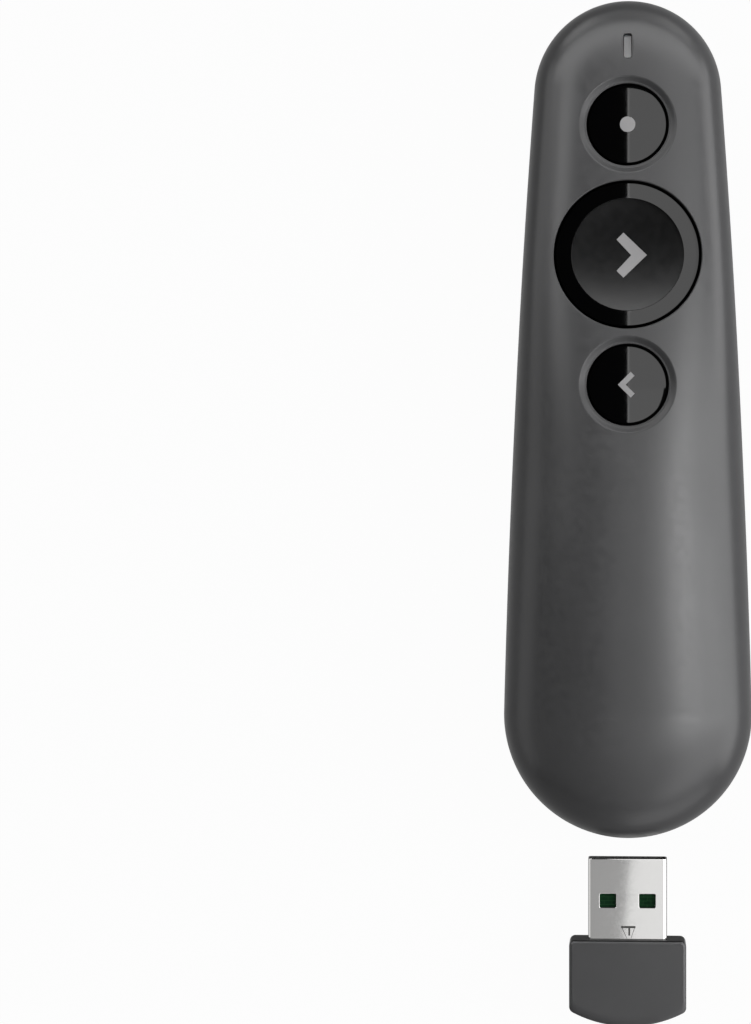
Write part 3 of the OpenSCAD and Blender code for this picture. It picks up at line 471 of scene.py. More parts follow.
def combine(piece, parts, operation="DIFFERENCE", slot=0):
    """Cuts, joins or intersects a piece with closed meshes, whose faces get a slot."""
    points, faces = join_meshes(parts)
    tool = new_piece("tool", points, faces, piece.data.materials, np.full(len(faces), slot))
    made = piece.modifiers.new("combine", "BOOLEAN")
    made.operation = operation
    made.solver = "MANIFOLD"
    made.material_mode = "INDEX"
    made.object = tool
    apply_modifiers(piece)
    bpy.data.objects.remove(tool)
    return piece


def shade(piece, degrees=35.0, side=0):
    """Smooth shading that keeps flats flat, with sharp edges past an angle. With a side
    of the body given, faces in slot 0 get the exact normals of the outer skin, and the
    land at z = 0 looks straight down."""
    piece.data.set_sharp_from_angle(angle=math.radians(degrees))
    piece.modifiers.new("weigh", "WEIGHTED_NORMAL").keep_sharp = True
    apply_modifiers(piece)
    if side:
        mesh = piece.data
        normals = read(mesh.corner_normals, "vector", width=3)
        places = read(mesh.vertices, "co", width=3)[read(mesh.loops, "vertex_index", int)] / MM
        on_skin = np.repeat(read(mesh.polygons, "material_index", int) == 0,
                            read(mesh.polygons, "loop_total", int))
        normals[on_skin] = skin_normals(side, places[on_skin])
        on_land = ~on_skin & (np.abs(places[:, 2]) < 1e-4) & (normals[:, 2] < -0.7)
        normals[on_land] = (0, 0, -1)
        mesh.normals_split_custom_set(normals.tolist())
    return piece


def repaint(piece, slot, chosen):
    """Gives a material slot to the faces for which chosen(centre, normal) holds."""
    for face in piece.data.polygons:
        if chosen(face.center / MM, face.normal):
            face.material_index = slot


def finish_piece(piece, body, slot, *nodes):
    """Says which body a piece rides on and the CAD nodes it stands for, which it hides. The slot is
    not used.
    """
    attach(piece, body)
    if nodes:
        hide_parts(*nodes)
    return piece


# ------ materials

def put(tree, kind, inputs=(), **settings):
    """A new shader node. An input is a number, a colour or another node's output."""
    node = tree.nodes.new("ShaderNode" + kind)
    for name, value in settings.items():
        setattr(node, name, value)
    for socket, value in dict(inputs).items():
        if isinstance(value, bpy.types.NodeSocket):
            tree.links.new(value, node.inputs[socket])
        else:
            node.inputs[socket].default_value = value
    return node


def node_material(name, colour, roughness, metallic=0.0, **sockets):
    """A Principled material, with its tree and its shader."""
    material = bpy.data.materials.new(name)
    material.use_nodes = True
    shader = material.node_tree.nodes["Principled BSDF"]
    sockets.update(Base_Color=(*colour, 1), Roughness=roughness, Metallic=metallic)
    for socket, value in sockets.items():
        shader.inputs[socket.replace("_", " ")].default_value = value
    return material, material.node_tree, shader


def object_place(tree):
    return put(tree, "TexCoord").outputs["Object"]


def noise(tree, scale, detail=4.0, stretch=(1, 1, 1)):
    """A noise texture in the object's own metres; scale is features per metre."""
    place = put(tree, "Mapping", {"Vector": object_place(tree), "Scale": stretch})
    return put(tree, "TexNoise", {"Vector": place.outputs["Vector"], "Scale": scale,
                                  "Detail": detail}).outputs["Fac"]


def spread(tree, factor, low, high):
    """Maps a 0 to 1 factor, whose middle is most common, onto a range."""
    return put(tree, "MapRange", {"Value": factor, "From Min": 0.3, "From Max": 0.7,
                                  "To Min": low, "To Max": high}).outputs["Result"]


def vary_colour(tree, shader, factor, dark, light):
    mix = put(tree, "Mix", {"Factor": factor, "A": (*dark, 1), "B": (*light, 1)},
              data_type="RGBA")
    tree.links.new(mix.outputs["Result"], shader.inputs["Base Color"])


def vary_roughness(tree, shader, factor, low, high):
    tree.links.new(spread(tree, factor, low, high), shader.inputs["Roughness"])


def add_bump(tree, shader, factor, height_mm, strength=1.0):
    bump = put(tree, "Bump", {"Height": factor, "Strength": strength,
                              "Distance": height_mm * MM})
    tree.links.new(bump.outputs["Normal"], shader.inputs["Normal"])


def shade_of(colour, share):
    return [c * share for c in colour]


def moulded(name, colour, roughness, grain_mm=0.12, depth_mm=0.004, **sockets):
    """Moulded plastic: a fine grain, and soft changes of tone and gloss over it."""
    material, tree, shader = node_material(name, colour, roughness, **sockets)
    vary_colour(tree, shader, spread(tree, noise(tree, 90.0, 3.0), 0, 1),
                shade_of(colour, 0.94), shade_of(colour, 1.06))
    vary_roughness(tree, shader, noise(tree, 900.0, 2.0), roughness - 0.03, roughness + 0.03)
    add_bump(tree, shader, noise(tree, 1 / (grain_mm * MM), 2.0), depth_mm)
    return material


def polished(name, colour, roughness):
    """Polished plastic with faint changes of gloss and the flow of the mould."""
    material, tree, shader = node_material(name, colour, roughness)
    vary_roughness(tree, shader, noise(tree, 160.0, 4.0), roughness * 0.8, roughness * 1.3)
    vary_colour(tree, shader, noise(tree, 220.0, 2.0),
                shade_of(colour, 0.9), shade_of(colour, 1.1))
    return material


def plated(name, colour, roughness, streak=(1, 1, 1), depth_mm=0.0006):
    """Plated sheet metal with fine rolling streaks."""
    material, tree, shader = node_material(name, colour, roughness, metallic=1.0)
    fine = noise(tree, 2500.0, 3.0, streak)
    vary_roughness(tree, shader, fine, roughness * 0.75, roughness * 1.35)
    vary_colour(tree, shader, noise(tree, 400.0, 4.0), shade_of(colour, 0.96), colour)
    add_bump(tree, shader, fine, depth_mm)
    return material


def circuit_board(name, depth=1.0, gloss=1.0):
    """Green solder mask over a fine grid of copper tracks; depth scales its colours, which paints
    shade on a board that lies deep inside a part.
    """
    material, tree, shader = node_material(name, (0.01, 0.05, 0.02), 0.3,
                                           Coat_Weight=0.4 * gloss, Specular_IOR_Level=0.5 * gloss)
    colours = {"Color1": (0.006, 0.045, 0.016), "Color2": (0.01, 0.06, 0.022),
               "Mortar": (0.03, 0.12, 0.04)}
    tracks = put(tree, "TexBrick", {"Vector": object_place(tree), "Scale": 420.0,
                                    "Mortar Size": 0.012,
                                    **{key: (*shade_of(colour, depth), 1)
                                       for key, colour in colours.items()}})
    tree.links.new(tracks.outputs["Color"], shader.inputs["Base Color"])
    add_bump(tree, shader, tracks.outputs["Fac"], 0.02, 0.3)
    return material


def cell_can():
    """Plain battery sleeve: dark body and a copper-coloured shoulder at the nub's end."""
    material, tree, shader = node_material("cell_can", (0.02, 0.02, 0.022), 0.25, Coat_Weight=0.5)
    low, high = node_box("battery_cell")
    along = put(tree, "SeparateXYZ", {"Vector": object_place(tree)}).outputs["Y"]
    shoulder = put(tree, "Math", {0: along, 1: (high[1] - 0.28 * (high[1] - low[1])) * MM},
                   operation="GREATER_THAN")
    vary_colour(tree, shader, shoulder.outputs["Value"], (0.018, 0.018, 0.02), (0.5, 0.24, 0.1))
    vary_roughness(tree, shader, noise(tree, 300.0), 0.2, 0.32)
    return material


CASE = moulded("case_graphite", (0.062, 0.062, 0.0642), 0.31, Specular_IOR_Level=0.38)
# painted shade: a darker, less glossy copy of the case plastic for the rounded rim at the seam, the
# flat land and the edges of the openings
SHADED_EDGE = moulded("case_edge_painted_shade", (0.047, 0.047, 0.0487), 0.36, Specular_IOR_Level=0.3)
# painted shade: near black for the front face of the receiver's cap, which is the same plastic as
# the case
SHADED_CAP_FACE = moulded("receiver_face_painted_shade", (0.005, 0.005, 0.0052), 0.6, Specular_IOR_Level=0.2)
# painted shade: near black for the walls of the button holes and the caps' rims, skirts and
# flanges, which lie in the shade of the gap round each cap
GAP_SHADE = moulded("button_gap_painted_shade", (0.003, 0.003, 0.0032), 0.7, Specular_IOR_Level=0.1)
INSIDE = moulded("case_inside", (0.03, 0.03, 0.032), 0.6)
GLOSS = polished("button_gloss", (0.0022, 0.0022, 0.0024), 0.045)
SATIN = moulded("button_satin", (0.006, 0.006, 0.0065), 0.34, grain_mm=0.09, depth_mm=0.002,
               Specular_IOR_Level=0.42)
MOULDING = moulded("black_moulding", (0.018, 0.018, 0.019), 0.5)
PRINT = moulded("icon_print", (0.33, 0.325, 0.33), 0.55, grain_mm=0.06, depth_mm=0.002)
PIPE = moulded("light_pipe_diffuser", (0.17, 0.17, 0.174), 0.35, depth_mm=0.001,
               Subsurface_Weight=0.3, Subsurface_Scale=0.001)
PLUG_PLATE = plated("plug_plate", (0.73, 0.725, 0.715), 0.05, depth_mm=0.00005)
# painted shade: a dark copy of the plug's plate for its inside, its front edges and the grooves of
# its seam
SHADED_PLUG_METAL = plated("plug_metal_painted_shade", (0.06, 0.06, 0.058), 0.4)
NICKEL = plated("nickel_plate", (0.72, 0.715, 0.7), 0.16, streak=(1, 6, 1))
BRASS = plated("brass", (0.72, 0.5, 0.2), 0.22)
GOLD = plated("gold_contact", (0.85, 0.6, 0.22), 0.15)
BOARD = circuit_board("board_green")
# painted shade: a darker, nearly gloss-free copy of the board for the receiver's board, seen
# through the plug's windows
SHADED_BOARD = circuit_board("board_in_plug", 0.6, gloss=0.05)
CHIP = moulded("chip_epoxy", (0.012, 0.012, 0.013), 0.45, grain_mm=0.05)
FOAM = moulded("foam", (0.02, 0.02, 0.021), 0.9, grain_mm=0.35, depth_mm=0.08)
WINDOW = polished("laser_window", (0.03, 0.0012, 0.002), 0.05)
LENS = polished("laser_lens", (0.3, 0.32, 0.36), 0.05)
CELL = cell_can()


for finish, nodes in (
        (MOULDING, "receiver_dock battery_tray laser_switch_plunger next_switch_plunger "
                   "back_switch_plunger usb_insert"),
        (BOARD, "main_board laser_flex"), (SHADED_BOARD, "receiver_board"),
        (CHIP, "radio_chip board_parts laser_switch next_switch back_switch receiver_chip"),
        (NICKEL, "laser_diode battery_spring negative_contact positive_contact board_screws"),
        (BRASS, "laser_barrel"), (GOLD, "usb_contacts"), (PIPE, "status_led"),
        (LENS, "laser_lens"), (CELL, "battery_cell"), (WINDOW, "nose_window")):
    for node in nodes.split():
        node_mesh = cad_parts[node].data
        node_mesh.materials.clear()
        node_mesh.materials.append(finish)

# ------ covers

SKIN_STEPS = (96, 110, 120)
TRIM_STEPS = (32, 40, 40)
SKIN_ROWS = 60
INNER_ROWS = 14
RIM_STEPS = 4
# slots 2 and 3 carry painted shade: a darker copy of the case on cut edges, and near black in the
# button holes
COVER_SLOTS = [CASE, INSIDE, SHADED_EDGE, GAP_SHADE]     # outer skin, inside, cut edges, button holes


def skin_rows(side, inset, rows, steps):
    """Rings from next to the spine out to next to the rim."""
    return [skin_ring(side, inset, math.pi / 2 * k / rows, steps) for k in range(1, rows)]


def skin_mesh(side, inset, rows, steps, rings_after, spine_last=None):
    """Points and faces through the spine, the skin's rings and the rings that follow."""
    spine, index = skin_spine(side, inset, steps)
    rings = skin_rows(side, inset, rows, steps) + rings_after
    count = len(index)
    order = [index.tolist()]
    order += [list(range(len(spine) + k * count, len(spine) + (k + 1) * count))
              for k in range(len(rings))]
    points = [spine, *rings]
    if spine_last is not None:
        order.append((index + len(spine) + len(rings) * count).tolist())
        points.append(spine_last)
    bands = [band_faces(pair) for pair in zip(order[:-1], order[1:])]
    return np.concatenate(points), bands, order


def cover_shell(name, side):
    """A cover before its openings: outer skin, rounded rim and inner skin, closed."""
    x, y, spine_y, _ = outline(0, *SKIN_STEPS)
    outward = np.column_stack([x, y - spine_y])
    outward /= np.linalg.norm(outward, axis=1, keepdims=True)
    after = [at_height(np.column_stack([x, y]) - inset * outward, SEAM + side * (RIM_GAP + rise))
             for inset, rise in round_edge(RIM_ROUND, 90, RIM_STEPS) + [(WALL, 0)]]
    after += skin_rows(side, WALL, INNER_ROWS, SKIN_STEPS)[::-1]
    inner_spine = skin_spine(side, WALL, SKIN_STEPS)[0]
    points, bands, _ = skin_mesh(side, 0, SKIN_ROWS, SKIN_STEPS, after, inner_spine)
    faces = [face[::-1] if side > 0 else face for band in bands for face in band]
    # the rounded rim gets slot 2, the darker copy of the case with painted shade
    slots = [0 if k < SKIN_ROWS else 2 if k < SKIN_ROWS + RIM_STEPS + 1 else 1
             for k, band in enumerate(bands) for _ in band]
    return new_piece(name, points, faces, COVER_SLOTS, slots)


def trim_ring(inset, z):
    """The body's outline at an inset and a height, in coarse steps."""
    return at_height(np.column_stack(outline(inset, *TRIM_STEPS)[:2]), z)


def lower_solid(inset):
    """The lower half of the body at an inset, for trimming what stands inside it."""
    points, bands, order = skin_mesh(-1, inset, INNER_ROWS, TRIM_STEPS, [trim_ring(inset, SEAM)])
    return points, [face for band in bands for face in band] + [order[-1]]


def lip_ring():
    """The locating lip and its root, a closed band inside the seam."""
    root, lip, back = WALL - 0.3, WALL + 0.15, WALL + 0.95
    return stack_rings([trim_ring(inset, SEAM + rise) for inset, rise in (
        (root, -2.5), (root, -REST_GAP), (lip, -REST_GAP), (lip, 1.1), (lip + 0.1, 1.2),
        (back, 1.2), (back, -2.5))], loop=True)


def on_deck(tool):
    """A tool that was made for a level deck, its top moved onto the curved one."""
    points, faces = tool
    lift = (skin_z(points[:, 0], points[:, 1]) - DECK) * smooth((points[:, 2] - DECK + 2.5) / 1.5)
    return points + np.outer(lift, (0, 0, 1)), faces


def flare(radius, z, rounding, past=1.0):
    """Profile of a rounded edge where a hole of a radius meets the surface at z."""
    edge = [(radius + inset, z - rise) for inset, rise in round_edge(rounding, 80, 6)]
    return edge + [(edge[-1][0] + past, z + past * math.tan(math.radians(14)))]


def closed_off(profile, z):
    """A profile taken straight up to a height and in to the axis."""
    return profile + [(profile[-1][0], z), (0, z)]


def hole_tool(y, radius, rounding):
    """A round hole in the deck with a rounded edge."""
    profile = [(0, DECK - 9), (radius, DECK - 9), (radius, DECK - 2)]
    profile = closed_off(profile + flare(radius, DECK, rounding), DECK + 3)
    return on_deck(lathe(profile, 160, (0, y)))


def seat_tool(y):
    """The stepped hole of a small button, with its chamfered seat."""
    foot, floor, rounding = SMALL_HOLE + 0.3, DECK - SEAT_DEPTH, 0.7
    slope = math.atan2(SEAT_DEPTH, SEAT_RADIUS - foot)
    profile = [(0, DECK - 9), (SMALL_HOLE, DECK - 9)]
    profile += [(SMALL_HOLE + inset, floor - rise) for inset, rise in round_edge(0.15)]
    profile += [(foot, floor), (foot + 0.12, floor + 0.05)]
    centre = (SEAT_RADIUS + rounding * math.tan(slope / 2), DECK - rounding)
    profile += arc(centre, rounding, 90 + math.degrees(slope), 98, 6)
    profile.append((profile[-1][0] + 1.0, profile[-1][1] + 0.2))
    return on_deck(lathe(closed_off(profile, DECK + 3), 160, (0, y)))


def slot_tool():
    """The slot of the status light, with rounded corners and a rounded edge."""
    levels = [(0, DECK - 6), (0, DECK - 1)] + flare(0, DECK, 0.12, 0.3)
    return on_deck(round_bar([half + REST_GAP for half in LIGHT_HALF], 0.3, (0, LIGHT_Y),
                             levels + [(levels[-1][0], DECK + 3)]))


def nose_tool():
    """The laser's hole in the nose, flared where it meets the curved skin."""
    radius = BEZEL_NECK + 0.15
    profile = [(0, BEZEL_BACK - 1), (radius, BEZEL_BACK - 1), (radius, NOSE_TIP - 1.5)]
    profile = closed_off(profile + flare(radius, NOSE_TIP, 0.35), NOSE_TIP + 3)
    points, faces = turned_to_y(lathe(profile, 96), SEAM)
    back = nose_skin_y(points[:, 0], points[:, 2]) - NOSE_TIP
    points[:, 1] += back * smooth((points[:, 1] - NOSE_TIP + 1.6) / 1.2)
    return points, faces


def make_top_cover():
    cover = cover_shell("upper_cover", 1)
    buttons = ((NEXT_BUTTON_Y, NEXT_HOLE, NEXT_SLEEVE_DEPTH),
               (LASER_BUTTON_Y, SMALL_HOLE, SMALL_SLEEVE_DEPTH),
               (BACK_BUTTON_Y, SMALL_HOLE, SMALL_SLEEVE_DEPTH))
    combine(cover, [rod(hole + SLEEVE_WALL, (0, y, DECK - depth), (0, y, DECK - WALL + 0.4), 96)
                    for y, hole, depth in buttons], "UNION", slot=1)
    combine(cover, [hole_tool(NEXT_BUTTON_Y, NEXT_HOLE, 0.22), seat_tool(LASER_BUTTON_Y),
                    seat_tool(BACK_BUTTON_Y), slot_tool(), nose_tool()], slot=2)
    shade(cover, side=1)
    # painted shade: the walls of the button holes get the near-black material
    for y, hole, _ in buttons:
        repaint(cover, 3, lambda centre, normal: normal[2] < 0.5 and centre[2] > DECK - 4 and
                math.hypot(centre[0], centre[1] - y) < hole + 0.12)
    finish_piece(cover, "housing", "case", "top_cover")


def downward_flare(rounding):
    """(grow, z) levels of a rounded edge where an opening meets the land at z = 0."""
    edge = round_edge(rounding, 84)[::-1]
    return [(edge[0][0] + 0.1, -2.0), (edge[0][0] + 0.02, -0.02)] + edge


def around_plug(room, back, front):
    """A box with the plug's height and width and some room."""
    x, z = [half + room for half in PLUG_HALF]
    return box_mesh((-x, back, PLUG_Z - z), (x, front, PLUG_Z + z))


def door_plan(grow, front):
    """Outline of the battery door, grown by a gap, with its front edge at a place."""
    half, back = DOOR_HALF + grow, DOOR_BACK - grow
    corner = DOOR_CORNER + min(0, grow)
    return ([(half, front), (-half, front)]
            + arc((corner - half, back + corner), corner, 180, 270, 8)
            + arc((half - corner, back + corner), corner, 270, 360, 8))


def make_bottom_cover():
    cover = cover_shell("lower_cover", -1)
    half = CAP_HIGH[0] + GAP
    blocks = []
    for side, back, front, top in (
            (half, TAIL_TIP - 5, POCKET_FRONT + POCKET_WALL, POCKET_TOP + POCKET_WALL),
            (DOOR_HALF + DOOR_GAP, CHANNEL_END + POCKET_WALL + 0.1, SHELF_END, SHELF_TOP)):
        side += POCKET_WALL
        block = new_piece("block", *box_mesh((-side, back, -5), (side, front, top)))
        blocks.append(take_mesh(combine(block, [lower_solid(0.6)], "INTERSECT")))
    combine(cover, blocks + [lip_ring()], "UNION", slot=1)
    combine(cover, [box_mesh((-30, TAIL_TIP - 5, -5), (30, NOSE_TIP + 5, 0)), nose_tool()], slot=2)
    pocket = upright(
        lambda grow: [(half + grow, TAIL_TIP - 5), (half + grow, POCKET_FRONT + grow),
                      (-half - grow, POCKET_FRONT + grow), (-half - grow, TAIL_TIP - 5)],
        downward_flare(0.2) + [(0, POCKET_TOP)])
    channel = around_plug(0.3, POCKET_FRONT - 1, CHANNEL_END)
    opening = upright(lambda grow: door_plan(DOOR_GAP + grow, DOOR_HIGH[1] + REST_GAP + grow),
                      downward_flare(0.15) + [(0, SHELF_BOTTOM)])
    sockets = crosswise(PIN_RADIUS + REST_GAP, DOOR_HIGH[0] + DOOR_GAP, HINGE_Y, HINGE_Z, 32)
    for tool in (pocket, channel, opening, sockets):
        combine(cover, [tool], slot=2)
    finish_piece(shade(cover, side=-1), "housing", "case", "bottom_cover")


make_top_cover()
make_bottom_cover()

# ------ battery door

def make_door():
    """Door plate with softened edges, rolled hinge edge, pins, latch tongue and scoop."""
    top, latch = DOOR_FACE + DOOR_THICKNESS, DOOR_HIGH[2]
    levels = [(-rise, DOOR_FACE + inset) for inset, rise in round_edge(0.3)] + [(0, top)]
    door = new_piece("battery_door_panel",
                     *upright(lambda grow: door_plan(grow, HINGE_Y), levels), [CASE])
    for part in (
            crosswise(DOOR_THICKNESS / 2, DOOR_HALF, HINGE_Y, HINGE_Z),
            crosswise(PIN_RADIUS, DOOR_HIGH[0], HINGE_Y, HINGE_Z, 32),
            box_mesh((-LATCH_HALF, DOOR_BACK, top - 0.5), (LATCH_HALF, DOOR_BACK + 1, latch)),
            crosswise(0.3, LATCH_HALF, DOOR_BACK + 0.2, latch - 0.5, 24)):
        combine(door, [part], "UNION")
    scoop, soft = 4.0, 0.5
    ends = [(0, -scoop), *arc((scoop - soft, soft - scoop), soft, 270, 360, 6),
            *arc((scoop - soft, scoop - soft), soft, 0, 90, 6), (0, scoop)]
    points, faces = lathe(ends, 96)
    combine(door, [(points[:, [2, 0, 1]] + (0, DOOR_BACK + 5, DOOR_FACE + 0.5 - scoop), faces)])
    finish_piece(shade(door, 30), "battery_door", "case", "battery_door")


def make_pad():
    """Foam strip with soft edges on the inside of the door."""
    low, high = node_box("door_pad")
    levels = [(0, low[2]), (0, high[2] - 0.2), (-0.08, high[2] - 0.08), (-0.25, high[2] - 0.02),
              (-0.8, high[2])]
    pad = new_piece("door_foam_pad", *round_bar((high - low) / 2, 0.9, (low + high) / 2, levels, 6),
                    [FOAM])
    shade(pad, 50)
    finish_piece(pad, "battery_door", "foam", "door_pad")


def make_cover_screws():
    """Pan-head screws with a cross recess, up through the shelf."""
    radius = (SCREW_HIGH[0] - SCREW_LOW[0]) / 2 - SCREW_X
    y, bottom, top = SCREW_Y, SCREW_LOW[2], SCREW_HIGH[2]
    profile = [(0, bottom), *arc((radius - 0.4, bottom + 0.4), 0.4, 270, 360, 6),
               (radius, SHELF_BOTTOM), (1.0, SHELF_BOTTOM), (1.0, top - 0.4), (0.7, top), (0, top)]
    screws = join_meshes([lathe(profile, 48, (x, y)) for x in (-SCREW_X, SCREW_X)])
    piece = new_piece("shelf_screws", *screws, [NICKEL])
    for x in (-SCREW_X, SCREW_X):
        for along, across in ((1.0, 0.22), (0.22, 1.0)):
            combine(piece, [box_mesh((x - along, y - across, bottom - 1),
                                     (x + along, y + across, bottom + 0.6))])
    finish_piece(shade(piece, 40), "housing", "plated_metal", "cover_screws")


make_door()
make_pad()
make_cover_screws()

# ------ buttons

def small_crown(y):
    """Height of a small button's crowned top over plan points."""
    return lambda px, py: DECK - SMALL_TOP_DEPTH - (px ** 2 + (py - y) ** 2) / (2 * SMALL_CROWN)


def underside(hole, sleeve_depth, roof, switch):
    """A cap's radius, its flange's top and the (radius, height) points below its crown."""
    radius, flange_top = hole - BUTTON_GAP, DECK - sleeve_depth - REST_GAP
    inner, flange, foot = radius - SKIRT_WALL, hole + FLANGE_REACH, flange_top - FLANGE_THICKNESS
    stem_end = node_box(switch)[1][2]
    return radius, flange_top, [
        (0, stem_end), (STEM_RADIUS, stem_end), (STEM_RADIUS, roof), (inner, roof), (inner, foot),
        (flange, foot), (flange, flange_top), (radius, flange_top)]


def paint_gap_shade(cap, flange_top):
    """Paints a cap's rim, skirt and flange near black and matt as painted shade in the gap round
    it, which leaves only its crown polished.
    """
    repaint(cap, 1, lambda centre, normal: normal.z < 0.85 or centre.z < flange_top + 0.01)


def make_small_button(name, y):
    top = DECK - SMALL_TOP_DEPTH
    radius, flange_top, profile = underside(SMALL_HOLE, SMALL_SLEEVE_DEPTH, top - SMALL_ROOF,
                                            "laser_switch_plunger")
    corner, tangent = radius - CAP_EDGE, 90 - math.degrees(radius / SMALL_CROWN)
    meet = corner + CAP_EDGE * math.cos(math.radians(tangent))
    middle = top - meet ** 2 / (2 * SMALL_CROWN) - CAP_EDGE * math.sin(math.radians(tangent))
    profile += arc((corner, middle), CAP_EDGE, 0, tangent, 8)
    profile += [(r, top - r * r / (2 * SMALL_CROWN)) for r in np.linspace(meet, 0, 14)[1:]]
    cap = shade(new_piece(name + "_top", *lathe(profile, 160, (0, y)), [GLOSS, GAP_SHADE]))
    paint_gap_shade(cap, flange_top)
    return finish_piece(cap, name, "button", name + "_cap")


def dish_height(px, py):
    """Height of the dish in the next button over plan points."""
    sphere = (DISH_RADIUS ** 2 + DISH_SAG ** 2) / (2 * DISH_SAG)
    bottom = DECK - NEXT_TOP_DEPTH - DISH_RIM_DEPTH - DISH_SAG
    return bottom + sphere - np.sqrt(sphere ** 2 - px ** 2 - (py - NEXT_BUTTON_Y) ** 2)


def fallen(z):
    """Height of the next button's ring, which falls towards the sides."""
    return lambda x, y: z - x ** 2 / (2 * NEXT_CROWN)


def make_next_button():
    """Barrel-crowned ring with its skirt and stem, and the satin dish set into it."""
    top, inner = DECK - NEXT_TOP_DEPTH, 0.06
    floor = top - DISH_RIM_DEPTH - DISH_SAG
    seat = floor - DISH_FLOOR
    radius, flange_top, profile = underside(NEXT_HOLE, NEXT_SLEEVE_DEPTH, floor - NEXT_ROOF,
                                            "next_switch_plunger")
    crown = arc((radius - CAP_EDGE, top - CAP_EDGE), CAP_EDGE, 0, 90, 8)
    crown += [(r, top) for r in np.linspace(radius - CAP_EDGE, DISH_RADIUS + inner, 6)[1:-1]]
    crown += arc((DISH_RADIUS + inner, top - inner), inner, 90, 180, 5)
    profile += [(r, fallen(z)) for r, z in crown] + [(DISH_RADIUS, seat), (0, seat)]
    dish = [(0, seat), (DISH_RADIUS, seat)]
    dish += [(r, dish_height) for r in np.linspace(DISH_RADIUS, 0, 28)]
    ring, dish = [shade(new_piece("next_button_" + name,
                                  *lathe(rows, 192, (0, NEXT_BUTTON_Y)), materials))
                  for name, rows, materials in (("ring", profile, [GLOSS, GAP_SHADE]),
                                                ("dish", dish, [SATIN]))]
    paint_gap_shade(ring, flange_top)
    finish_piece(ring, "next_button", "button", "next_button_cap")
    return ring, finish_piece(dish, "next_button", "button")


def draped(name, grid, height, body):
    """A thin print that lies on a surface: grid is rows of plan points."""
    plan = grid.reshape(-1, 2)
    base, count = height(*plan.T), len(plan)
    index = np.arange(count).reshape(grid.shape[:2])
    quads = np.stack([index[:-1, :-1], index[:-1, 1:], index[1:, 1:], index[1:, :-1]], axis=-1)
    faces = []
    for quad in quads.reshape(-1, 4).tolist():
        faces += [quad, [corner + count for corner in quad[::-1]]]
    border = np.concatenate([index[0], index[1:, -1], index[-1, -2::-1], index[-2:0:-1, 0]])
    for a, b in zip(border.tolist(), np.roll(border, -1).tolist()):
        faces.append([b, a, a + count, b + count])
    piece = new_piece(name, np.concatenate([at_height(plan, base + PRINT_RISE),
                                            at_height(plan, base - PRINT_SINK)]), faces, [PRINT])
    rebuild = bmesh.new()
    rebuild.from_mesh(piece.data)
    bmesh.ops.recalc_face_normals(rebuild, faces=rebuild.faces)
    rebuild.to_mesh(piece.data)
    rebuild.free()
    finish_piece(shade(piece, 40), body, "light_pipe")


def chevron(outer_end, tip, inner_end, notch, centre_y):
    """Grid of a chevron: its upper arm, and the same arm mirrored below."""
    grid = []
    for u in np.linspace(0, 2, 41):
        share, flip = (u, 1) if u <= 1 else (2 - u, -1)
        outer = np.array(outer_end) * (1 - share) + np.array((tip, 0)) * share
        inner = np.array(inner_end) * (1 - share) + np.array((notch, 0)) * share
        row = [outer * (1 - v) + inner * v for v in np.linspace(0, 1, 5)]
        grid.append([(p[0], centre_y + flip * p[1]) for p in row])
    return np.array(grid)


def dot(radius, centre_y):
    """Grid of a disc, a square that is pressed round."""
    u, v = np.meshgrid(np.linspace(-1, 1, 17), np.linspace(-1, 1, 17))
    reach = radius * np.maximum(abs(u), abs(v)) / np.maximum(np.hypot(u, v), 1e-9)
    return np.stack([reach * u, centre_y + reach * v], axis=-1)


LASER_TOP = make_small_button("laser_button", LASER_BUTTON_Y)
BACK_TOP = make_small_button("back_button", BACK_BUTTON_Y)
RING, DISH = make_next_button()
draped("laser_icon", dot(1.14, LASER_BUTTON_Y), small_crown(LASER_BUTTON_Y), "laser_button")
draped("next_icon", chevron((-0.61, 3.33), 2.85, (-1.63, 2.31), 0.53, NEXT_BUTTON_Y),
       dish_height, "next_button")
draped("back_icon", chevron((0.46, 1.9), -1.44, (1.03, 1.31), -0.27, BACK_BUTTON_Y),
       small_crown(BACK_BUTTON_Y), "back_button")

# ------ light and laser

def light_ring(grow, corner, height):
    """A ring round the light's slot, at height(x, y)."""
    plan = round_rectangle(LIGHT_HALF, corner, grow, 5, (0, LIGHT_Y))
    return at_height(plan, height(*plan.T))


def make_light():
    """The status light's window at the bottom of its slot, with a flange in the cover."""
    def window_height(x, y):
        share = 0.5 + (y - LIGHT_Y) / (2 * LIGHT_HALF[1])
        return skin_z(x, y) - LIGHT_RECESS[0] - (LIGHT_RECESS[1] - LIGHT_RECESS[0]) * share

    bottom, fit = node_box("light_pipe")[0][2], REST_GAP - 0.015
    rings = [light_ring(fit, 0.28, lambda x, y: bottom)]
    rings += [light_ring(fit - inset, 0.28, lambda x, y: window_height(x, y) - depth)
              for inset, depth in ((0, 0.1), (0.03, 0.03), (0.1, 0))]
    flange = [light_ring(0.6, 0.4, lambda x, y: bottom + 2),
              light_ring(0.6, 0.4, lambda x, y: skin_z(x, y) - WALL - 3 * REST_GAP)]
    pipe = new_piece("status_light_window", *stack_rings(rings), [PIPE])
    combine(pipe, [stack_rings(flange)], "UNION")
    finish_piece(shade(pipe), "housing", "light_pipe", "light_pipe")


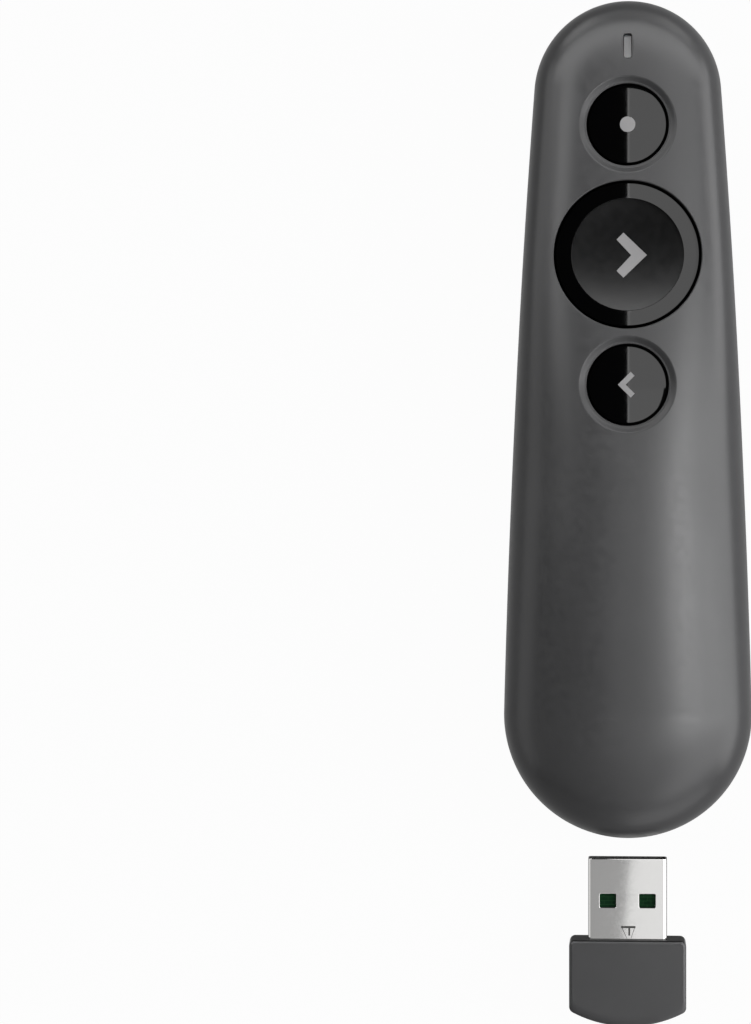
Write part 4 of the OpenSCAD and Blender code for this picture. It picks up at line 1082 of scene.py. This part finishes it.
def make_bezel():
    """Ring round the laser's window, with a rounded lip and a short cone inside."""
    lip = 0.3
    profile = [(BEZEL_BORE, BEZEL_BACK), (BEZEL_FLANGE, BEZEL_BACK), (BEZEL_FLANGE, BEZEL_STEP),
               (BEZEL_NECK, BEZEL_STEP)]
    profile += arc((BEZEL_NECK - lip, BEZEL_FRONT - lip), lip, 0, 90, 6)
    profile += [(BEZEL_BORE + 0.5, BEZEL_FRONT), (BEZEL_BORE + 0.4, BEZEL_FRONT - 0.06),
                (BEZEL_BORE, BEZEL_FRONT - 0.55)]
    bezel = new_piece("laser_bezel", *turned_to_y(lathe(profile, 96, loop=True), SEAM), [GLOSS])
    finish_piece(shade(bezel), "housing", "button", "nose_bezel")


make_light()
make_bezel()

# ------ receiver

def cap_ring(z, inset=0.0, end_inset=0.0):
    """Outline of the receiver's cap at a height: two front corners, two straight sides
    and an end that carries on the skin of the docked tail."""
    half, front, corner = CAP_HIGH[0] - inset, CAP_FRONT - inset, CAP_CORNER - inset
    rise = (SEAM - z) / (SEAM + LAND_DEPTH)
    reach = TAIL_RADIUS * (1 - rise ** BACK_POWER) ** (1 / BACK_POWER) - end_inset
    centre_y, round_off = TAIL_Y - TRAVEL, 1.0
    drop = math.sqrt((reach - round_off) ** 2 - (half - round_off) ** 2)
    turn = math.degrees(math.atan2(drop, half - round_off))
    return at_height(
        arc((half - corner, front - corner), corner, 0, 90, 8)
        + arc((corner - half, front - corner), corner, 90, 180, 8)
        + arc((round_off - half, centre_y - drop), round_off, 180, 180 + turn, 8)
        + arc((0, centre_y), reach, 180 + turn, 360 - turn, 48)[1:-1]
        + arc((half - round_off, centre_y - drop), round_off, 360 - turn, 360, 8), z)


def make_receiver_cap():
    low, high, edge = CAP_LOW[2], CAP_HIGH[2], round_edge(CAP_ROUND, 90, 7)
    rings = [cap_ring(low + rise, inset, inset) for rise, inset in edge]
    rings += [cap_ring(z) for z in np.linspace(low + CAP_ROUND, high - CAP_ROUND, 18)[1:-1]]
    rings += [cap_ring(high - rise, inset, inset * CAP_END_ROUND / CAP_ROUND)
              for rise, inset in edge[::-1]]
    cap = new_piece("receiver_housing", *stack_rings(rings), [CASE, SHADED_CAP_FACE])
    combine(cap, [around_plug(REST_GAP, CAP_FRONT - CAP_CAVITY, CAP_FRONT + 1)])
    shade(cap, 30)
    # painted shade: the cap's front face gets the near-black material
    repaint(cap, 1, lambda centre, normal: normal[1] > 0.7)
    finish_piece(cap, "receiver", "case", "receiver_cap")


def plug_ring(inset, y, corner):
    plan = round_rectangle(PLUG_HALF, corner, -inset)
    return at_height(plan, y)[:, [0, 2, 1]] + (0, 0, PLUG_Z)


def make_plug_shell():
    """Folded shell of the plug: softened mouth, two windows a side, and its dovetail seam."""
    back, top = SHELL_LOW[1], PLUG_Z + PLUG_HALF[1]
    rings = [plug_ring(*ring) for ring in (
        (0.1, PLUG_TIP, 0.5), (0.03, PLUG_TIP - 0.03, 0.57), (0, PLUG_TIP - 0.1, 0.6),
        (0, back, 0.6), (SHELL_WALL, back, 0.3), (SHELL_WALL, PLUG_TIP - 0.1, 0.3),
        (SHELL_WALL - 0.06, PLUG_TIP, 0.36))]
    shell = new_piece("plug_shell", *stack_rings(rings, loop=True), [PLUG_PLATE, SHADED_PLUG_METAL])
    edge = [(0.4, 0.3), (0.09, 0.01), (0.03, -0.03), (0, -0.1)]
    levels = [(grow, PLUG_Z - PLUG_HALF[1] - past) for grow, past in edge]
    levels += [(grow, top + past) for grow, past in edge[::-1]]
    for x in (-WINDOW_X, WINDOW_X):
        combine(shell, [round_bar(WINDOW_HALF, 0.2, (x, WINDOW_Y), levels)])
    seam_y, root, groove = CAP_FRONT + 1.9, CAP_FRONT + 0.15, top - 0.12
    combine(shell, [box_mesh((-1.0, seam_y - 0.16, groove), (1.2, seam_y + 0.16, top + 1))], slot=1)
    for x, end, width in ((-0.9, (-0.1, root), 0.035), (1.1, (0.5, root), 0.035),
                          (0.25, (0.25, CAP_FRONT + 0.6), 0.14)):
        start, end = np.array((x, seam_y)), np.array(end)
        along = end - start
        across = np.array([along[1], -along[0]]) / np.linalg.norm(along) * width
        corners = [end + across, end - across, start - across, start + across]
        combine(shell, [upright(lambda _: corners, [(0, groove), (0, top + 1)])], slot=1)
    shade(shell)
    # painted shade: the inside of the shell and its front edges get the dark copy of the plate, as
    # the seam's grooves do
    room = [half - SHELL_WALL + 0.01 for half in PLUG_HALF]
    repaint(shell, 1, lambda centre, normal: normal[1] > 0.5 or (
        abs(centre[0]) < room[0] and abs(centre[2] - PLUG_Z) < room[1]))
    finish_piece(shell, "receiver", "plated_metal", "usb_shell")


make_receiver_cap()
make_plug_shell()

# ------ scene

PIXEL = 0.1507                 # millimetres a pixel at the height of the seam
CAMERA_HEIGHT = 555.0
CAMERA_Y = NOSE_TIP - 76.37    # the middle of the frame's height
SENSOR = 36.0
IMAGE_HEIGHT = 1024
CARD_HEIGHT = 250.0
GLOSS_FLOOR = 0.42             # brightness of the floor in reflections
FLOOR_GLOW = 0.97              # share of the floor that glows, the rest keeps the shadow
OFFSET_PIXELS = 627.6 - 375.5  # the object stands this far right of the frame's middle


def make_camera():
    """Camera straight over the clicker, turned a few degrees so that it frames the
    clicker on the right."""
    camera = add_object("camera", bpy.data.cameras.new("camera"))
    bpy.context.scene.camera = camera
    depth = CAMERA_HEIGHT - SEAM
    turn = math.asin(OFFSET_PIXELS * PIXEL / depth)
    camera.data.sensor_width = SENSOR
    camera.data.lens = SENSOR * depth * math.cos(turn) / PIXEL / IMAGE_HEIGHT
    camera.data.clip_end = 20.0
    camera.location = (0, CAMERA_Y * MM, CAMERA_HEIGHT * MM)
    camera.rotation_euler = (0, turn, 0)


def emission(name, strength):
    material = bpy.data.materials.new(name)
    material.use_nodes = True
    tree = material.node_tree
    tree.nodes.clear()
    glow = put(tree, "Emission", {"Strength": strength})
    put(tree, "OutputMaterial", {"Surface": glow.outputs["Emission"]})
    return material


def reflection_card(name, corners, strength, hidden_from):
    """A card that only gloss sees, but for the pieces that it is hidden from."""
    card = new_piece(name, corners, [[0, 1, 2, 3]], [emission(name, strength)])
    for rays in ("camera", "diffuse", "transmission", "shadow"):
        setattr(card, "visible_" + rays, False)
    if hidden_from:
        linked = bpy.data.collections.new(name + "_link")
        for piece in hidden_from:
            linked.objects.link(piece)
        for entry in linked.collection_objects:
            entry.light_linking.link_state = "EXCLUDE"
        card.light_linking.receiver_collection = linked


def level_card(name, x, y, strength, hidden_from=(), slant=0.0):
    """A level card over the clicker. With a slant, its side next to x = 0 leans."""
    near = min(x, key=abs)
    corners = [(u + (slant * (v - y[1]) if u == near else 0), v, CARD_HEIGHT)
               for u, v in ((x[0], y[0]), (x[0], y[1]), (x[1], y[1]), (x[1], y[0]))]
    reflection_card(name, corners, strength, hidden_from)


def make_key_lamp():
    """A soft lamp on the right that gloss doesn't see."""
    lamp = add_object("key", bpy.data.lights.new("key", "AREA"))
    lamp.data.shape = "RECTANGLE"
    lamp.data.size, lamp.data.size_y = 0.3, 0.5
    lamp.data.energy = 4.8
    lamp.location = (0.75, -0.02, 0.43)
    lamp.rotation_euler = (Vector((0, 0, 0.01)) - lamp.location).to_track_quat("-Z", "Y").to_euler()
    lamp.visible_camera = False
    lamp.visible_glossy = False


def make_floor():
    """White floor that keeps a faint shadow, that gloss sees dark, and that is open from
    below for a look at the underside."""
    floor = new_piece("floor", [(1500 * x, 1500 * y, -0.02) for x, y in
                                ((-1, -1), (1, -1), (1, 1), (-1, 1))], [[0, 1, 2, 3]])
    material, tree, shader = node_material("floor_white", (0.5, 0.5, 0.5), 0.9)
    path = put(tree, "LightPath").outputs
    in_gloss = path["Is Glossy Ray"]

    def maths(operation, *values):
        return put(tree, "Math", enumerate(values), operation=operation).outputs["Value"]

    def mixed(*inputs):
        return put(tree, "MixShader", enumerate(inputs)).outputs["Shader"]

    seen = maths("MAXIMUM", path["Is Camera Ray"], path["Is Transmission Ray"])
    glow = put(tree, "Emission",
               {"Strength": maths("MULTIPLY_ADD", in_gloss, GLOSS_FLOOR - 1, 1.0)})
    share = maths("MULTIPLY_ADD", maths("MAXIMUM", seen, in_gloss), FLOOR_GLOW, 0.0)
    lit = mixed(share, shader.outputs["BSDF"], glow.outputs["Emission"])
    open_below = mixed(put(tree, "NewGeometry").outputs["Backfacing"], lit,
                       put(tree, "BsdfTransparent").outputs["BSDF"])
    tree.links.new(open_below, tree.nodes["Material Output"].inputs["Surface"])
    floor.data.materials.append(material)


def make_world(fill, gloss):
    """Even fill light; the camera sees white, and gloss sees a plain grey room."""
    world = bpy.data.worlds.new("studio")
    bpy.context.scene.world = world
    world.use_nodes = True
    tree = world.node_tree
    path = put(tree, "LightPath").outputs
    for_gloss = put(tree, "Mix", {"Factor": path["Is Glossy Ray"], "A": fill, "B": gloss})
    for_camera = put(tree, "Mix", {"Factor": path["Is Camera Ray"],
                                   "A": for_gloss.outputs["Result"], "B": 1.0})
    background = tree.nodes["Background"]
    background.inputs["Color"].default_value = (1, 1, 1, 1)
    tree.links.new(for_camera.outputs["Result"], background.inputs["Strength"])


def make_cards():
    """Cards over the palm, the buttons, the plug and past the nose, and some that stand
    round the clicker. The caps see only the flag on the left and the near cards on the
    right, which leaves half of each cap black. The dish sees only the card past the nose,
    which grades it from top to bottom."""
    caps = [LASER_TOP, BACK_TOP, RING]
    smooth = caps + [DISH]
    plug, palm, buttons, nose = (-350, -68), (-68, 22), (22, 142), (142, 350)
    for card in (
            ("flag_buttons", (-85, 0), buttons, 0.0), ("flag_palm", (-450, 0), palm, 0.0),
            ("split_line", (0, 2), (palm[0], buttons[1]), 3.4, [DISH]),
            ("palm_near", (2, 57), palm, 2.1, [DISH]),
            ("palm_strip", (57, 140), palm, 10.0, smooth),
            ("palm_wide", (140, 260), palm, 6.5, smooth),
            ("palm_far", (260, 450), palm, 6.2, smooth),
            ("buttons_near", (2, 85), buttons, 2.0, [DISH]),
            ("buttons_wide", (85, 200), buttons, 1.8, [DISH]),
            ("left_near", (-200, -85), buttons, 4.2, smooth),
            ("left_far", (-450, -200), buttons, 1.3, smooth),
            ("past_nose", (-450, 450), nose, 4.5, caps),
            ("plug_left", (-450, 1.3), plug, 0.43, caps, 0.09),
            ("plug_right", (1.3, 90), plug, 1.0, caps, 0.09),
            ("tail_right", (90, 450), plug, 3.0, caps)):
        level_card(*card)
    for name, low, high, strength in (
            ("beside_left", (-450, -300), (-450, 45), 1.1),
            ("nose_left", (-450, 45), (-450, 300), 1.8),
            ("beside_right", (450, -300), (450, 300), 3.8),
            ("beyond_nose_left", (-450, 450), (-150, 450), 3.4),
            ("beyond_nose", (-150, 450), (150, 450), 1.3),
            ("beyond_nose_right", (150, 450), (450, 450), 2.6),
            ("beyond_tail_left", (-450, -450), (0, -450), 0.4),
            ("beyond_tail_right", (0, -450), (450, -450), 1.8)):
        corners = [(*low, 0), (*high, 0), (*high, CARD_HEIGHT), (*low, CARD_HEIGHT)]
        reflection_card(name, corners, strength, smooth)


make_camera()
make_floor()
make_world(fill=0.3, gloss=0.1)
make_key_lamp()
make_cards()

bpy.context.scene.view_settings.view_transform = "Standard"
